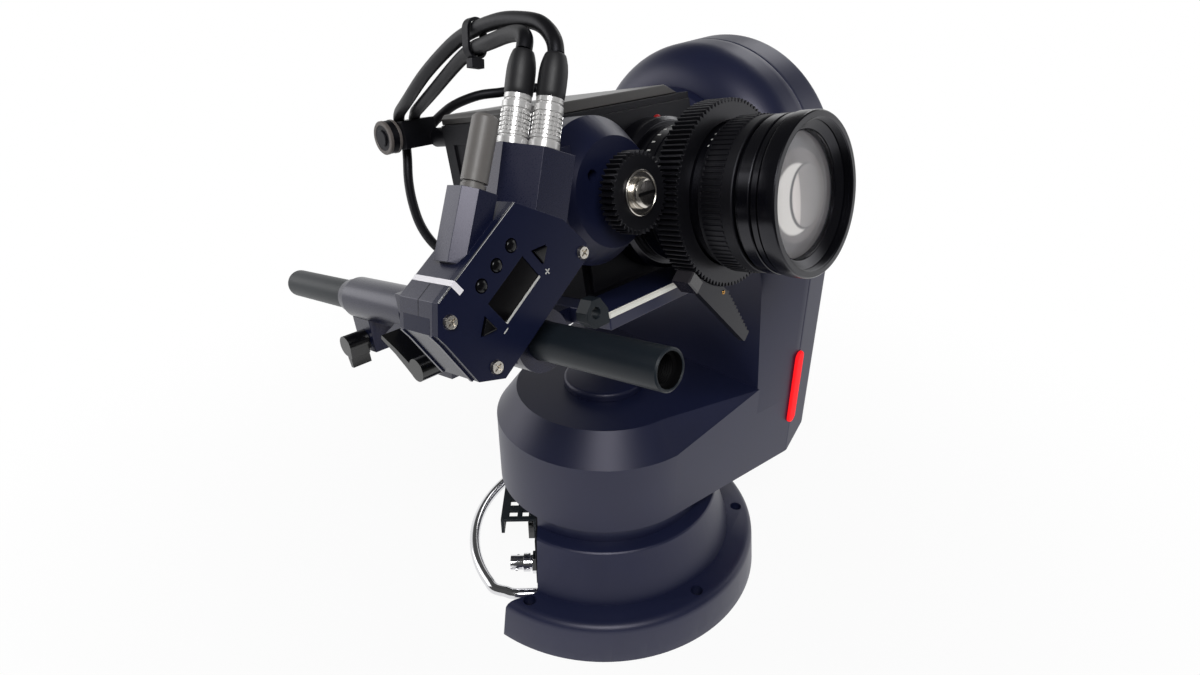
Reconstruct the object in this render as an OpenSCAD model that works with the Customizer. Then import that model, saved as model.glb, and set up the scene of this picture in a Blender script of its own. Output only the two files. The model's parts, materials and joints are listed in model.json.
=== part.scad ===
// Motorised pan tilt head with a camera, a zoom lens and a lens drive motor on a rod.
// Origin: middle of the flange's underside, on the pan axis. +Z is up, the lens looks along -Y,
// the tilt axis runs along X and the arm stands on the +X side.

/* [Base] */
// Radius of the round flange
flange_r = 98.5; // [97:0.5:106]
// Height of the flange
flange_h = 25.4; // [20:0.2:32]
// Slope of the flange's side: how far its foot stands out beyond its middle
flange_draft = 1; // [0:0.2:2]
// Rounding of the flange's upper edge
flange_edge = 5; // [1:0.5:6]
// Width of the flange's ledge, which carries the bolts
ledge_w = 17; // [15:0.5:22]
// How far the tier closes in from its foot to its top
tier_taper = 9.5; // [6:0.5:12]
// Height of the tapered tier
tier_h = 30; // [27:1:40]
// Step between the tier's top and the neck under the pan housing
neck_step = 9; // [6:0.5:14]
// Height of the neck
neck_h = 8.2; // [6:0.2:14]
// Wall of the base casting
base_wall = 5; // [3.5:0.5:6]
// Angle that the base is turned from the head
base_turn = 45; // [0:5:90]
// Distance of the flange bolts from the flange's rim
bolt_rim = 10; // [9:0.1:10.5]
// Radius of a flange bolt hole
bolt_hole_r = 3.6; // [2.5:0.1:4.2]
// Angle between the front flange bolt and the next ones
bolt_side_angle = 54; // [40:1:70]
// Distance of the bolts in the flange's ears from the connector wall
ear_bolt = 4.25; // [3:0.25:6]
// Thickness of the floor plate
floor_t = 3; // [2:0.5:5]

/* [Connector pocket] */
// Distance of the connector wall from the pan axis
pocket_face = 40; // [40:0.5:46]
// How far the pocket stays within the tier's foot at the connector wall
pocket_rim = 0.5; // [0.5:0.5:5]
// How far each side of the pocket widens from the connector wall to the flange's ears
ear_flare = 9; // [4:0.5:10]
// Distance of the flange's ears from the pan axis
ear_reach = 61; // [56:1:66]
// Radius of the guard loop's sweep about the pan axis
loop_r = 86; // [82:1:94]
// Distance of the guard loop's legs from the pocket's sides
loop_inset = 13; // [10:0.5:20]
// Radius of the guard loop's bar
loop_bar_r = 3.3; // [2:0.1:4]
// Height of the guard loop's middle
loop_z = 10; // [6:1:16]
// Thickness of the connector panel
panel_t = 2; // [1:0.5:3]
// Distance of the connector panel's ends from the tier's upper edge
panel_inset = 7.9; // [4:0.1:10]

/* [Pan] */
// Radius of the pan housing's round side
pan_r = 65; // [62:0.5:70]
// Gap between the neck and the pan housing
pan_gap = 0.8; // [0.4:0.1:2]
// Height of the pan housing's upright side
pan_side_h = 43; // [36:1:50]
// Width of the pan housing's chamfer
pan_chamfer_w = 12.6; // [8:0.2:18]
// Height of the pan housing's chamfer
pan_chamfer_h = 17.2; // [12:0.2:22]
// Wall of the pan housing
pan_wall = 5; // [3:0.5:7]
// Radius of the round cap on the pan housing
cap_r = 24; // [14:1:34]
// Height of the round cap
cap_h = 5; // [3:0.5:5.5]
// Radius of the pan spindle
spindle_r = 20; // [17:0.5:21]
// Radius of the hole through the pan spindle
spindle_hole_r = 14; // [10:0.5:15]
// Outer radius of the pan bearing
pan_bearing_r = 31; // [27:0.5:32]
// Width of the pan bearing
pan_bearing_w = 12; // [8:0.5:13]

/* [Arm] */
// Distance of the arm's inner face from the pan axis
arm_in = 56; // [54:0.5:58]
// Rounding between the arm's inner face and its rim
arm_fillet = 21.5; // [14:0.5:24]
// Distance of the seam between arm shell and arm cover
arm_seam = 90; // [88:0.5:96]
// Distance of the arm's outer face from the pan axis
arm_out = 111; // [107:0.5:118]
// Rounding of the arm cover's outer edge
arm_edge = 4; // [2:0.5:7]
// Radius of the arm's round top
arm_top_r = 74.5; // [71:0.5:78]
// How far the arm's foot stands out beyond its round top on each side
arm_shoulder = 3.8; // [2:0.1:6]
// Drop of the arm's round top below the tilt axis
arm_sink = 4; // [0:0.2:8]
// Height of the arm's waist, where its sides start to close in
arm_waist_z = 191; // [180:1:200]
// Half depth of the arm's inner face at its waist
arm_waist = 67; // [62:0.5:70]
// Narrowing of the arm's round top from its outer to its inner face
arm_draft = 3.9; // [2:0.1:8]
// Wall of the arm
arm_wall = 5; // [3:0.5:6]
// Height of the chamfer under the arm cover's foot
foot_h = 17; // [8:1:26]
// Length of the tally light
tally_len = 51; // [30:1:60]
// Width of the tally light
tally_w = 8; // [5:0.5:10]
// Thickness of the tally light
tally_t = 1.6; // [1:0.2:3]
// Height of the tally light's middle
tally_z = 113.5; // [106:0.5:125]

/* [Tilt drive] */
// Height of the tilt axis
tilt_z = 240.6; // [236:0.2:260]
// Upward tilt of the camera as it stands
rest_tilt = 10.6; // [8:0.2:14]
// Radius of the tilt hub's disc
hub_r = 47; // [40:1:52]
// Thickness of the tilt hub's disc
hub_t = 9; // [7:0.5:9]
// Radius of the tilt shaft
tilt_shaft_r = 15; // [12:0.5:16]
// Outer radius of the tilt bearing
tilt_bearing_r = 26; // [22:0.5:28]
// Width of the tilt bearing
tilt_bearing_w = 12; // [8:0.5:14]
// Module of the pan and tilt gears
drive_module = 1.25; // [1.25:0.05:1.3]
// Teeth of the pan gear
pan_teeth = 48; // [44:1:49]
// Teeth of the tilt gear
tilt_teeth = 48; // [44:1:56]
// Teeth of the motor pinions
pinion_teeth = 18; // [17:1:20]
// Face width of the pan and tilt gears
drive_face = 8; // [6:0.5:9]
// Radius of the pan motor
motor_r = 17; // [14:0.5:18]
// Radius of the motors' shafts
motor_shaft_r = 3; // [2:0.5:4]

/* [Cradle] */
// Thickness of the cradle's upright
upright_t = 6; // [4:0.5:7]
// Height of the cradle's upright above the tilt axis
upright_top = 34; // [28:1:44]
// Half depth of the cradle's upright
upright_half = 34; // [28:1:40]
// Thickness of the shelf
shelf_t = 8; // [6:0.5:10]
// Reach of the shelf in front of the tilt axis
shelf_front = 55; // [48:1:58]
// Reach of the shelf to the rod's side
shelf_side = 62; // [58:1:66]
// Radius of the thumb screw's head
thumb_r = 9; // [7:0.5:12]
// Height of the thumb screw's head
thumb_h = 9; // [6:0.5:14]

/* [Camera] */
// Distance of the camera's side on the rod's side
cam_side = 52; // [48:1:53]
// Height of the camera's underside below the tilt axis
cam_low = 40; // [37:0.5:44]
// Height of the camera's body above the tilt axis
cam_high = 44; // [40:0.5:48]
// Distance of the camera's front from the tilt axis
cam_front = 34; // [30:0.5:35]
// Distance of the camera's back from the tilt axis
cam_back = 60; // [60:1:61]
// Thickness of the camera's top plate
top_t = 5; // [4:0.5:5.5]
// Radius of the mount collar
collar_r = 36; // [34:0.5:36]
// Length of the mount collar
collar_len = 12; // [8:0.5:14]

/* [Lens] */
// Radius of the lens at its front
lens_r = 34.2; // [33:0.1:36]
// Distance of the lens front from the tilt axis
lens_front = 122.5; // [119:0.5:128]
// Radius of the lens barrel
barrel_r = 32; // [30:0.5:32.4]
// Radius of the filter thread
filter_r = 31; // [29:0.5:31.5]
// Radius of the front glass
glass_r = 26.5; // [20:0.5:27]
// Radius of the zoom ring
zoom_r = 34; // [33:0.1:35]
// Start of the zoom ring in front of the tilt axis
zoom_start = 86; // [84:0.5:90]
// Width of the zoom ring
zoom_w = 17; // [12:0.5:20]

/* [Lens gears] */
// Module of the lens gears
lens_module = 0.8; // [0.8:0.01:0.81]
// Teeth of the focus gear ring
ring_teeth = 102; // [101:1:104]
// Teeth of the drive gear
drive_teeth = 40; // [38:1:42]
// Direction of the drive gear seen from the lens axis
mesh_angle = 167.7; // [165:0.1:170]
// Start of the focus gear ring in front of the tilt axis
ring_start = 69; // [68.5:0.5:70]
// Face width of the focus gear ring
ring_face = 12; // [10:0.5:13]
// Start of the drive gear in front of the tilt axis
drive_start = 68.5; // [68:0.5:70]
// Face width of the drive gear
drive_gear_face = 7; // [5:0.5:10]
// Length of the strap's loose tail
tail_len = 57; // [40:1:57]

/* [Motor unit] */
// Turn of the motor unit about the lens direction
unit_turn = 33.5; // [31:0.5:35]
// Length of the front plate
plate_len = 63; // [60:0.5:65]
// Height of the front plate
plate_wide = 37; // [36:0.2:40]
// Thickness of the front plate
plate_t = 3; // [2:0.5:4]
// Distance of the front plate's face from the tilt axis
plate_front = 88; // [86:0.5:90]
// Depth of the motor unit's case
case_depth = 19; // [17:0.5:20]
// Wall of the motor unit's case
case_wall = 3; // [2:0.5:3.5]
// Radius of a round button
button_r = 2.1; // [1.8:0.1:3.4]
// Distance between the round buttons
button_pitch = 8.4; // [8.2:0.2:9]
// Length of the display window
window_len = 20; // [16:0.5:21]
// Height of the display window
window_h = 10; // [8:0.5:11]
// Radius of the round gearbox
gearbox_r = 31.2; // [29:0.2:33]
// Radius of the round gearbox's front face
gearbox_face_r = 22.8; // [20:0.2:26]
// Angle of the plugs seen from the front
plug_angle = 68; // [65:0.5:70]
// Angle of the antenna seen from the front
antenna_angle = 63.5; // [61:0.5:66]
// Radius of a plug
plug_r = 5.4; // [4.6:0.1:5.6]
// Length of a plug's metal shell
plug_len = 17; // [15:0.5:18]
// Length of a plug's rubber boot
boot_len = 15; // [12:0.5:16]
// Radius of the antenna
antenna_r = 4.4; // [3.4:0.1:5]
// Length of the antenna
antenna_len = 23.5; // [16:0.5:30]

/* [Rod] */
// Radius of the rod
rod_r = 7.5; // [7:0.1:8]
// Distance of the rod's front end from the tilt axis
rod_front = 131; // [124:1:140]
// Length of the rod
rod_len = 276; // [262:1:300]
// Distance of the rod from the lens axis to the side
rod_side = 112; // [110:0.5:113]
// Distance of the rod below the lens axis
rod_down = 31.7; // [30:0.1:33]
// Radius of the threaded hole in the rod's ends
rod_hole_r = 5.4; // [4:0.1:5.8]
// Depth of the threaded hole in the rod's ends
rod_hole_depth = 20; // [12:1:30]
// Outer radius of the rod sleeve
sleeve_r = 10.5; // [9.5:0.1:12]
// Length of the front lever's wing
front_wing = 26.5; // [20:0.5:30]
// Length of the rear lever's wing
rear_wing = 11; // [8:0.5:16]

/* [Cables] */
// Radius of the two drive cables
cable_r = 2.9; // [2:0.1:3]
// Radius of the two thin cables
lead_r = 2.5; // [2:0.1:2.6]

/* [Fits] */
// Running clearance of a shaft
run_gap = 0.05; // [0.03:0.01:0.08]
// Clearance of pieces that are fixed together
seat_gap = 0.03; // [0.02:0.01:0.06]
// Clearance of pieces that move past each other
move_gap = 0.3; // [0.3:0.05:0.6]

/* [Hidden] */
$fn = 96;
eps = 0.01;

paint = "#2b2d3d";
black = "#17181c";
steel = "#b9bbc0";

// Heights of the base and the pan housing
tier_top = flange_h + tier_h;
neck_top = tier_top + neck_h;
pan_low = neck_top + pan_gap;
pan_side_top = pan_low + pan_side_h;
pan_top = pan_side_top + pan_chamfer_h;
pan_floor = pan_low + pan_wall;

// Angle by which each side of the pan housing widens to end flush with the arm's foot
arm_half = arm_top_r + arm_shoulder;
pan_flare = acos(pan_r / norm([arm_half, arm_seam])) - atan2(arm_seam, arm_half);

// Radii of the base and half widths of what lies along its connector wall
tier_foot_r = flange_r - ledge_w;
tier_top_r = tier_foot_r - tier_taper;
neck_r = tier_top_r - neck_step;
bolt_circle_r = flange_r - bolt_rim;
function wall_half(r) = sqrt(r * r - pocket_face * pocket_face);
pocket_half = wall_half(tier_foot_r) - pocket_rim;
ear_half = pocket_half + ear_flare;
ear_bolt_angle = 90 + asin((pocket_face + ear_bolt) / bolt_circle_r);
loop_half = pocket_half - loop_inset;
panel_half = wall_half(tier_top_r) - panel_inset;
video_socket_x = panel_half - 9;
data_socket_x = [-0.35 * panel_half, 0.42 * panel_half];

// Floor plate, bearing seat and gear room inside the base
floor_r = tier_foot_r + 1.5;
room_half = pocket_face - base_wall;
panel_rim = 3;
bearing_low = neck_top - pan_bearing_w - 2;
room_top = bearing_low - 3;
gear_low = room_top - drive_face - 3;
spindle_low = gear_low - 1;
spindle_flange_t = 5;
spindle_flange_r = spindle_r + 12;
pan_pinion_y = -drive_module * (pan_teeth + pinion_teeth) / 2;
pinion_depth = 14;
deg = 180 / PI;

// Tilt drive places along X and Z
hub_out = arm_in - pan_gap;
hub_in = hub_out - hub_t;
upright_in = hub_in - upright_t;
bearing_in = arm_in + 2;
tilt_gear_x = bearing_in + tilt_bearing_w + 6;
tilt_pinion_z = tilt_z - drive_module * (tilt_teeth + pinion_teeth) / 2;
arm_room_in = arm_in + arm_wall + 1;
boss_r = tilt_bearing_r + 3;
tilt_motor_r = tilt_z - tilt_pinion_z - boss_r - move_gap;

// Camera places in the tilting frame
cam_far = upright_in - 2;
collar_front = cam_front + collar_len;
bezel_w = 8;
bezel_start = lens_front - bezel_w;
glass_seat = lens_front - 12.5;

// Focus gear mesh
ring_pitch_r = lens_module * ring_teeth / 2;
drive_pitch_r = lens_module * drive_teeth / 2;
mesh_distance = ring_pitch_r + drive_pitch_r;
drive_x = mesh_distance * cos(mesh_angle);
drive_y = mesh_distance * sin(mesh_angle);
tooth_slack = 0.12;
hub_screw_r = 9.2;

// Motor unit: origin at the middle of the display window
unit_x = -134.6;
unit_y = -2.7;
case_front = plate_front - plate_t;
case_back = case_front - case_depth;
plate_left = -plate_len * 0.484;
plate_low = -(plate_wide - 2) / 2;
button_row = 10.8;
screw_spots = [[plate_left + 7.5, 12.5], [plate_left + 7.5, plate_low + 6], [28.6, plate_low + 3.2]];
button_cap = 1;
gearbox_front = drive_start - 6.5;
gearbox_rim = gearbox_front - 12;
gearbox_back = cam_front + 4;
web_front = gearbox_front - 4;

// Plug and antenna seats, seen from the front
plug_step = 2 * plug_r + move_gap;
plug_slant = 52.3;
first_plug = [-111.4, 39.6, 70];
plug_across = [sin(plug_angle), -cos(plug_angle), 0];
plug_seats = [first_plug, first_plug + plug_step * (plug_across * cos(plug_slant) + [0, 0, sin(plug_slant)])];
antenna_seat = [-137, 30, 79];

// Rod fittings
clamp_front = 70;
clamp_back = 48;
clamp_r = rod_r + 5;
bracket_front = 30;
bracket_back = -17;
bracket_half = 10;
sleeve_back = -72;
front_lever_at = [-16.5, 7.5];
rear_lever_at = [-19, -64];
lug_half = 7;
lever_hub_r = 5.2;
lever_h = 11;
wing_t = 2.2;
front_wing_turn = -120;

// Rear plug block in the tilting frame
rear_x = [-66, -46];
rear_y = [35, 49];
rear_z = [-94, -74];
side_plug_at = [-62, -22, -40];

// Cable routes in the tilting frame: side, up, forward
plug_tip = plug_len + boot_len;
route_right = [[-92, 70, 78], [-90, 74, 74], [-88, 78, 67], [-86, 80, 57], [-84, 82, 44], [-82, 82, 30],
    [-80, 81, 16], [-79, 79, 4], [-78, 74, -12], [-76, 68, -30], [-73, 61, -48], [-69, 56, -64],
    [-64, 53, -78], [-62, 49, -83]];
route_left = [[-97, 73, 69], [-94, 75, 64], [-91, 76, 56], [-88, 76, 46], [-86, 75, 34], [-83, 75, 24],
    [-80, 74, 14], [-78, 72, 4], [-74, 67, -14], [-71, 61, -32], [-67, 56, -50], [-61, 53, -66],
    [-55, 52, -77], [-54, 49, -81]];
route_top = [[-46, 42, -86], [-42, 44, -85], [-38, 48, -81], [-33, 53, -72], [-24, 56, -62],
    [-14, 56, -55], [0, 56, -50], [10, 55, -46], [15, 53, -44], [16, 49, -43]];
route_side = [[-58, 35, -88], [-59, 29, -88], [-63, 18, -85], [-67, 7, -79], [-70, -4, -71],
    [-71, -13, -61], [-70, -20, -49], [-67, -22, -42], [-62, -22, -40]];

// The frame that tilts: x to the side, y up, z forward along the lens
module tilted() {
    translate([0, 0, tilt_z]) rotate([90 - rest_tilt, 0, 0]) children();
}

// A frame whose z runs along +X through the tilt axis
module along_tilt(x = 0) {
    translate([x, 0, tilt_z]) rotate([90, 0, 90]) children();
}

module base_frame() {
    rotate([0, 0, base_turn]) children();
}

module at_unit(z = 0) {
    tilted() translate([unit_x, unit_y, z]) rotate([0, 0, unit_turn]) children();
}

// A frame at a seat in the front view whose z runs along the plugs
module along_plug(seat, angle = plug_angle) {
    tilted() translate(seat) rotate([0, 0, angle]) rotate([0, 90, 0]) children();
}

module tube(outer, inner, h) {
    difference() {
        cylinder(r = outer, h = h);
        translate([0, 0, -1]) cylinder(r = inner, h = h + 2);
    }
}

// A box between two corners
module span(low, high) {
    translate(low) cube(high - low);
}

// Involute of an angle, in degrees
function inv(a) = tan(a) * deg - a;

// Half the angle of a tooth at a radius
function tooth_half(n, m, r) = 90 / n - tooth_slack / (m * n) * deg + inv(20)
    - inv(acos(min(1, m * n * cos(20) / 2 / r)));

module gear_outline(n, m) {
    tip = m * n / 2 + 0.9 * m;
    root = m * n / 2 - 1.25 * m;
    mid = m * n / 2;
    base = max(root, m * n * cos(20) / 2);
    marks = [[root, -tooth_half(n, m, base)], [mid, -tooth_half(n, m, mid)],
        [tip, -tooth_half(n, m, tip)], [tip, tooth_half(n, m, tip)],
        [mid, tooth_half(n, m, mid)], [root, tooth_half(n, m, base)]];
    polygon([for (k = [0 : n - 1]) for (p = marks)
        p[0] * [cos(360 * k / n + p[1]), sin(360 * k / n + p[1])]]);
}

// A round tube swept along a route, as one closed surface
function unit(v) = v / norm(v);
function heading(path, i) = unit(path[min(i + 1, len(path) - 1)] - path[max(i - 1, 0)]);
function side_of(d) = unit(cross(d, abs(d[0]) < 0.8 ? [1, 0, 0] : [0, 1, 0]));
function carried(s, d) = unit(s - d * (s * d));
function sides(path, i) = i == 0 ? side_of(heading(path, 0))
    : carried(sides(path, i - 1), heading(path, i));

module cable(path, r, n = 10) {
    count = len(path);
    rings = [for (i = [0 : count - 1]) let (d = heading(path, i), s = sides(path, i),
        t = cross(d, s)) for (k = [0 : n - 1])
        path[i] + r * (s * cos(360 * k / n) + t * sin(360 * k / n))];
    polyhedron(points = rings,
        faces = concat([[for (k = [n - 1 : -1 : 0]) k]],
            [[for (k = [0 : n - 1]) (count - 1) * n + k]],
            [for (i = [0 : count - 2]) for (k = [0 : n - 1])
                [i * n + k, i * n + (k + 1) % n, (i + 1) * n + (k + 1) % n]],
            [for (i = [0 : count - 2]) for (k = [0 : n - 1])
                [i * n + k, (i + 1) * n + (k + 1) % n, (i + 1) * n + k]]));
}

// The base's outside, turned about the pan axis
function corner(r, z, e, steps = 4) = [for (k = [0 : steps])
    [r - e * (1 - cos(90 * k / steps)), z - e * (1 - sin(90 * k / steps))]];

module base_outline() {
    foot = flange_r + flange_draft;
    polygon(concat([[0, 0], [foot - 1, 0], [foot, 1]],
        corner(flange_r - flange_draft, flange_h, flange_edge),
        [[tier_foot_r, flange_h]], corner(tier_top_r, tier_top, 2, 3),
        [[neck_r, tier_top], [neck_r, neck_top], [0, neck_top]]));
}

module pocket(half, shift = 0) {
    reach = flange_r * 1.5;
    slope = (ear_half - half) / (ear_reach - pocket_face);
    wide = half + slope * (reach - pocket_face);
    polygon([[-half, pocket_face + shift], [-wide, reach], [wide, reach], [half, pocket_face + shift]]);
}

module bolt_spots() {
    for (a = [0, bolt_side_angle, -bolt_side_angle, ear_bolt_angle, -ear_bolt_angle])
        rotate([0, 0, a - 90]) translate([bolt_circle_r, 0, 0]) children();
}

module floor_spots() {
    for (a = [-15, -90, -165])
        rotate([0, 0, a]) translate([floor_r - 5, 0, 0]) children();
}

module base_casting() {
    panel_low = flange_h / 2;
    color(paint) base_frame() difference() {
        rotate_extrude() base_outline();
        translate([0, 0, -1]) linear_extrude(neck_top + 2) pocket(pocket_half);
        intersection() {
            union() {
                cylinder(r = tier_foot_r - base_wall, h = flange_h);
                translate([0, 0, flange_h - eps])
                    cylinder(r1 = tier_foot_r - base_wall, r2 = tier_top_r - base_wall - 2,
                        h = room_top - flange_h + eps);
                translate([0, 0, -1]) cylinder(r = floor_r + seat_gap, h = floor_t + 1);
            }
            span([-flange_r, -flange_r, -2], [flange_r, room_half, neck_top]);
        }
        span([panel_rim - panel_half, room_half - 1, panel_low + panel_rim],
            [panel_half - panel_rim, pocket_face + 1, room_top - panel_rim]);
        translate([0, 0, room_top - 1]) cylinder(r = pan_bearing_r - 4, h = neck_top);
        translate([0, 0, bearing_low]) cylinder(r = pan_bearing_r + seat_gap, h = neck_top);
        bolt_spots() translate([0, 0, -1]) cylinder(r = bolt_hole_r, h = flange_h + 2);
        floor_spots() cylinder(r = 1.6, h = floor_t + 6);
    }
}

module floor_plate() {
    color(black) base_frame() difference() {
        intersection() {
            cylinder(r = floor_r, h = floor_t);
            span([-flange_r, -flange_r, 0], [flange_r, room_half - seat_gap, floor_t]);
        }
        floor_spots() translate([0, 0, -1]) cylinder(r = 1.8, h = floor_t + 2);
        floor_spots() translate([0, 0, -1]) cylinder(r = 3.2, h = 2.5);
    }
}

module floor_screws() {
    color(steel) base_frame() floor_spots() {
        translate([0, 0, 0.3]) cylinder(r = 3, h = 1.2);
        translate([0, 0, 0.3]) cylinder(r = 1.5, h = floor_t + 5);
    }
}

module connector_panel() {
    panel_low = flange_h / 2;
    color(black) base_frame() difference() {
        span([-panel_half, pocket_face, panel_low], [panel_half, pocket_face + panel_t, room_top]);
        socket_spots() cylinder(r = 4.6, h = 40, center = true);
        for (x = data_socket_x)
            span([x - 8, pocket_face - 1, 24], [x + 8, pocket_face + panel_t + 1, 38]);
    }
}

module socket_spots() {
    for (s = [-1, 1])
        translate([s * video_socket_x, pocket_face + panel_t, 21]) rotate([-90, 0, 0]) children();
}

module video_sockets() {
    color(steel) base_frame() socket_spots() difference() {
        union() {
            translate([0, 0, -panel_t - 6]) cylinder(r = 4.5, h = 24);
            cylinder(r = 7, h = 2.5, $fn = 6);
            translate([0, 0, 4]) cylinder(r = 5.6, h = 4);
            translate([0, 0, 12]) rotate([0, 90, 0]) cylinder(r = 1, h = 12, center = true);
        }
        translate([0, 0, 8]) tube(3.6, 1, 20);
    }
}

module data_sockets() {
    color(black) base_frame() {
        for (x = data_socket_x) difference() {
            span([x - 7.8, pocket_face - 10, 24.2], [x + 7.8, pocket_face + panel_t + 6, 37.8]);
            span([x - 5.5, pocket_face - 4, 27], [x + 5.5, pocket_face + panel_t + 7, 35]);
        }
    }
}

module cable_bracket() {
    foot = pocket_face + panel_t;
    slot = 5;
    pitch = 10;
    color(black) base_frame() translate([data_socket_x[0] - 13.8, 0, 0]) difference() {
        union() {
            span([0, foot, room_top - 3], [56, foot + 22, room_top - 1]);
            span([0, foot, room_top - 16], [5.5, foot + 2, room_top - 2]);
            span([0, foot + 20, room_top - 12], [24, foot + 22, room_top - 2]);
        }
        for (k = [0 : 4]) for (y = [4, 12])
            span([3 + pitch * k, foot + y, room_top - 4], [3 + pitch * k + slot, foot + y + slot, room_top]);
        for (k = [0, 1])
            span([3 + pitch * k, foot + 19, room_top - 10], [3 + pitch * k + slot, foot + 23, room_top - 5]);
    }
}

// The loop leaves the connector wall on two legs and sweeps round the pan axis
module guard_loop() {
    turn = asin(loop_half / loop_r);
    reach = loop_r * cos(turn);
    steps = 8;
    sweep = [for (k = [-steps : steps]) let (a = k * (turn - 4) / steps)
        [loop_r * sin(a), loop_r * cos(a), loop_z]];
    leg = [[loop_half - 2, reach - 3, loop_z], [loop_half, reach - 9, loop_z],
        [loop_half, pocket_face, loop_z]];
    other_leg = [for (k = [2 : -1 : 0]) [-leg[k][0], leg[k][1], leg[k][2]]];
    color(steel) base_frame() cable(concat(other_leg, sweep, leg), loop_bar_r, 12);
}

module pan_bearing() {
    color(steel) translate([0, 0, bearing_low + seat_gap])
        tube(pan_bearing_r, spindle_r + run_gap, pan_bearing_w);
}

module pan_motor() {
    top = gear_low - 2;
    color(black) base_frame() translate([0, pan_pinion_y, 0]) difference() {
        union() {
            translate([0, 0, floor_t]) cylinder(r = motor_r, h = top - floor_t - 3);
            translate([0, 0, top - 4]) cylinder(r = motor_r - 6, h = 4);
        }
        translate([0, 0, top - pinion_depth]) cylinder(r = motor_shaft_r + run_gap, h = pinion_depth + 1);
    }
}

module pinion(shaft_len) {
    translate([0, 0, 0]) linear_extrude(drive_face)
        rotate(180 / pinion_teeth) gear_outline(pinion_teeth, drive_module);
    translate([0, 0, -shaft_len]) cylinder(r = motor_shaft_r, h = shaft_len + 1);
}

module pan_pinion() {
    color(steel) base_frame() translate([0, pan_pinion_y, gear_low]) rotate([0, 0, 90])
        pinion(pinion_depth - 2);
}

// The pan housing's outline seen from above
function pan_half(x, inset) = (pan_r - inset) / cos(pan_flare) + x * tan(pan_flare);
pan_steps = 60;
function pan_arc(inset) = [for (k = [0 : pan_steps])
    let (a = 90 + pan_flare + (180 - 2 * pan_flare) * k / pan_steps) (pan_r - inset) * [cos(a), sin(a)]];
function pan_corners(inset, x) = [[x, -pan_half(x, inset)], [x, pan_half(x, inset)]];

// The housing with its chamfer, which runs out towards the arm, and the block that carries the arm
module pan_shape(inset, x, seam, low, high) {
    last = pan_steps;
    n = last + 3;
    m = n + last + 5;
    seam_a = last + 1;
    seam_b = last + 2;
    arc = pan_arc(inset);
    block = pan_corners(inset, seam);
    inner = pan_corners(inset, x);
    polyhedron(
        points = concat([for (p = concat(arc, block)) [p[0], p[1], low]],
            [for (p = concat(arc, block, inner)) [p[0], p[1], pan_side_top]],
            [for (p = concat(pan_arc(inset + pan_chamfer_w), inner)) [p[0], p[1], high]]),
        faces = concat([[for (i = [0 : n - 1]) i]], [[for (i = [last + 2 : -1 : 0]) m + i]],
            [for (i = [0 : last - 1]) [i, n + i, n + i + 1, i + 1]],
            [for (i = [0 : last - 1]) [n + i, m + i, m + i + 1, n + i + 1]],
            [[last, n + last, m + last + 1, n + last + 3, n + seam_a, seam_a],
             [n + last, m + last, m + last + 1],
             [seam_a, n + seam_a, n + seam_b, seam_b],
             [seam_b, n + seam_b, n + last + 4, m + last + 2, n, 0],
             [m + last + 2, m, n],
             [n + last + 3, n + last + 4, n + seam_b, n + seam_a],
             [n + last + 3, m + last + 1, m + last + 2, n + last + 4]]));
}

module pan_housing() {
    color(paint) difference() {
        pan_shape(0, arm_in, arm_seam, pan_low, pan_top);
        pan_shape(pan_wall, arm_in - pan_wall, arm_in - pan_wall + 1, pan_floor, pan_top - pan_wall);
        span([arm_in - pan_wall - 1, -arm_top_r + 2 * arm_wall, pan_floor],
            [arm_seam - arm_wall, arm_top_r - 2 * arm_wall, pan_side_top - pan_wall]);
        span([arm_room_in, -arm_top_r + 2 * arm_wall, pan_floor],
            [arm_seam - arm_wall, arm_top_r - 2 * arm_wall, pan_side_top + 1]);
        translate([0, 0, pan_low - 1]) cylinder(r = spindle_r + seat_gap, h = pan_wall + 2);
    }
}

module pan_cap() {
    edge = 2;
    color(paint) translate([0, 0, pan_top]) rotate_extrude()
        polygon(concat([[0, 0], [cap_r, 0]], corner(cap_r, cap_h, edge), [[0, cap_h]]));
}

module spindle() {
    color(steel) difference() {
        union() {
            translate([0, 0, spindle_low]) cylinder(r = spindle_r, h = pan_floor - spindle_low + 1);
            translate([0, 0, pan_floor]) cylinder(r = spindle_flange_r, h = spindle_flange_t);
        }
        translate([0, 0, spindle_low - 1]) cylinder(r = spindle_hole_r, h = pan_top);
    }
}

module pan_gear() {
    color(steel) base_frame() translate([0, 0, gear_low]) difference() {
        linear_extrude(drive_face) rotate(-90) gear_outline(pan_teeth, drive_module);
        translate([0, 0, -1]) cylinder(r = spindle_r + seat_gap, h = drive_face + 2);
    }
}

module slip_ring() {
    seat = pan_floor + spindle_flange_t;
    color(black) {
        translate([0, 0, spindle_low])
            cylinder(r = spindle_hole_r - move_gap, h = pan_side_top - spindle_low);
        translate([0, 0, seat]) cylinder(r = spindle_hole_r + 4, h = 4);
    }
}

// The arm's outline seen from the side: y across, z up from the tilt axis
arm_z = tilt_z - arm_sink;
function arm_round(x) = arm_top_r - arm_draft * (arm_out - x) / (arm_out - arm_in);
function arm_foot(x) = pan_half(min(x, arm_seam), 0);
function arm_side(x) = arm_waist
    + (arm_foot(arm_seam) - arm_waist) * (min(x, arm_seam) - arm_in) / (arm_seam - arm_in);
function arm_lean(r, half) = let (drop = arm_z - arm_waist_z)
    acos(min(1, r / norm([half, drop]))) - atan2(drop, half);

module arm_outline(r, foot, side, low) {
    drop = arm_z - pan_side_top;
    waist = arm_z - arm_waist_z;
    lean = arm_lean(r, side);
    steps = 40;
    translate([0, -arm_sink])
        polygon(concat(
            [for (k = [0 : steps]) let (a = lean + (180 - 2 * lean) * k / steps) r * [cos(a), sin(a)]],
            [[-side, -waist], [-foot, -drop], [-foot, low - arm_z], [foot, low - arm_z], [foot, -drop],
             [side, -waist]]));
}

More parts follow.
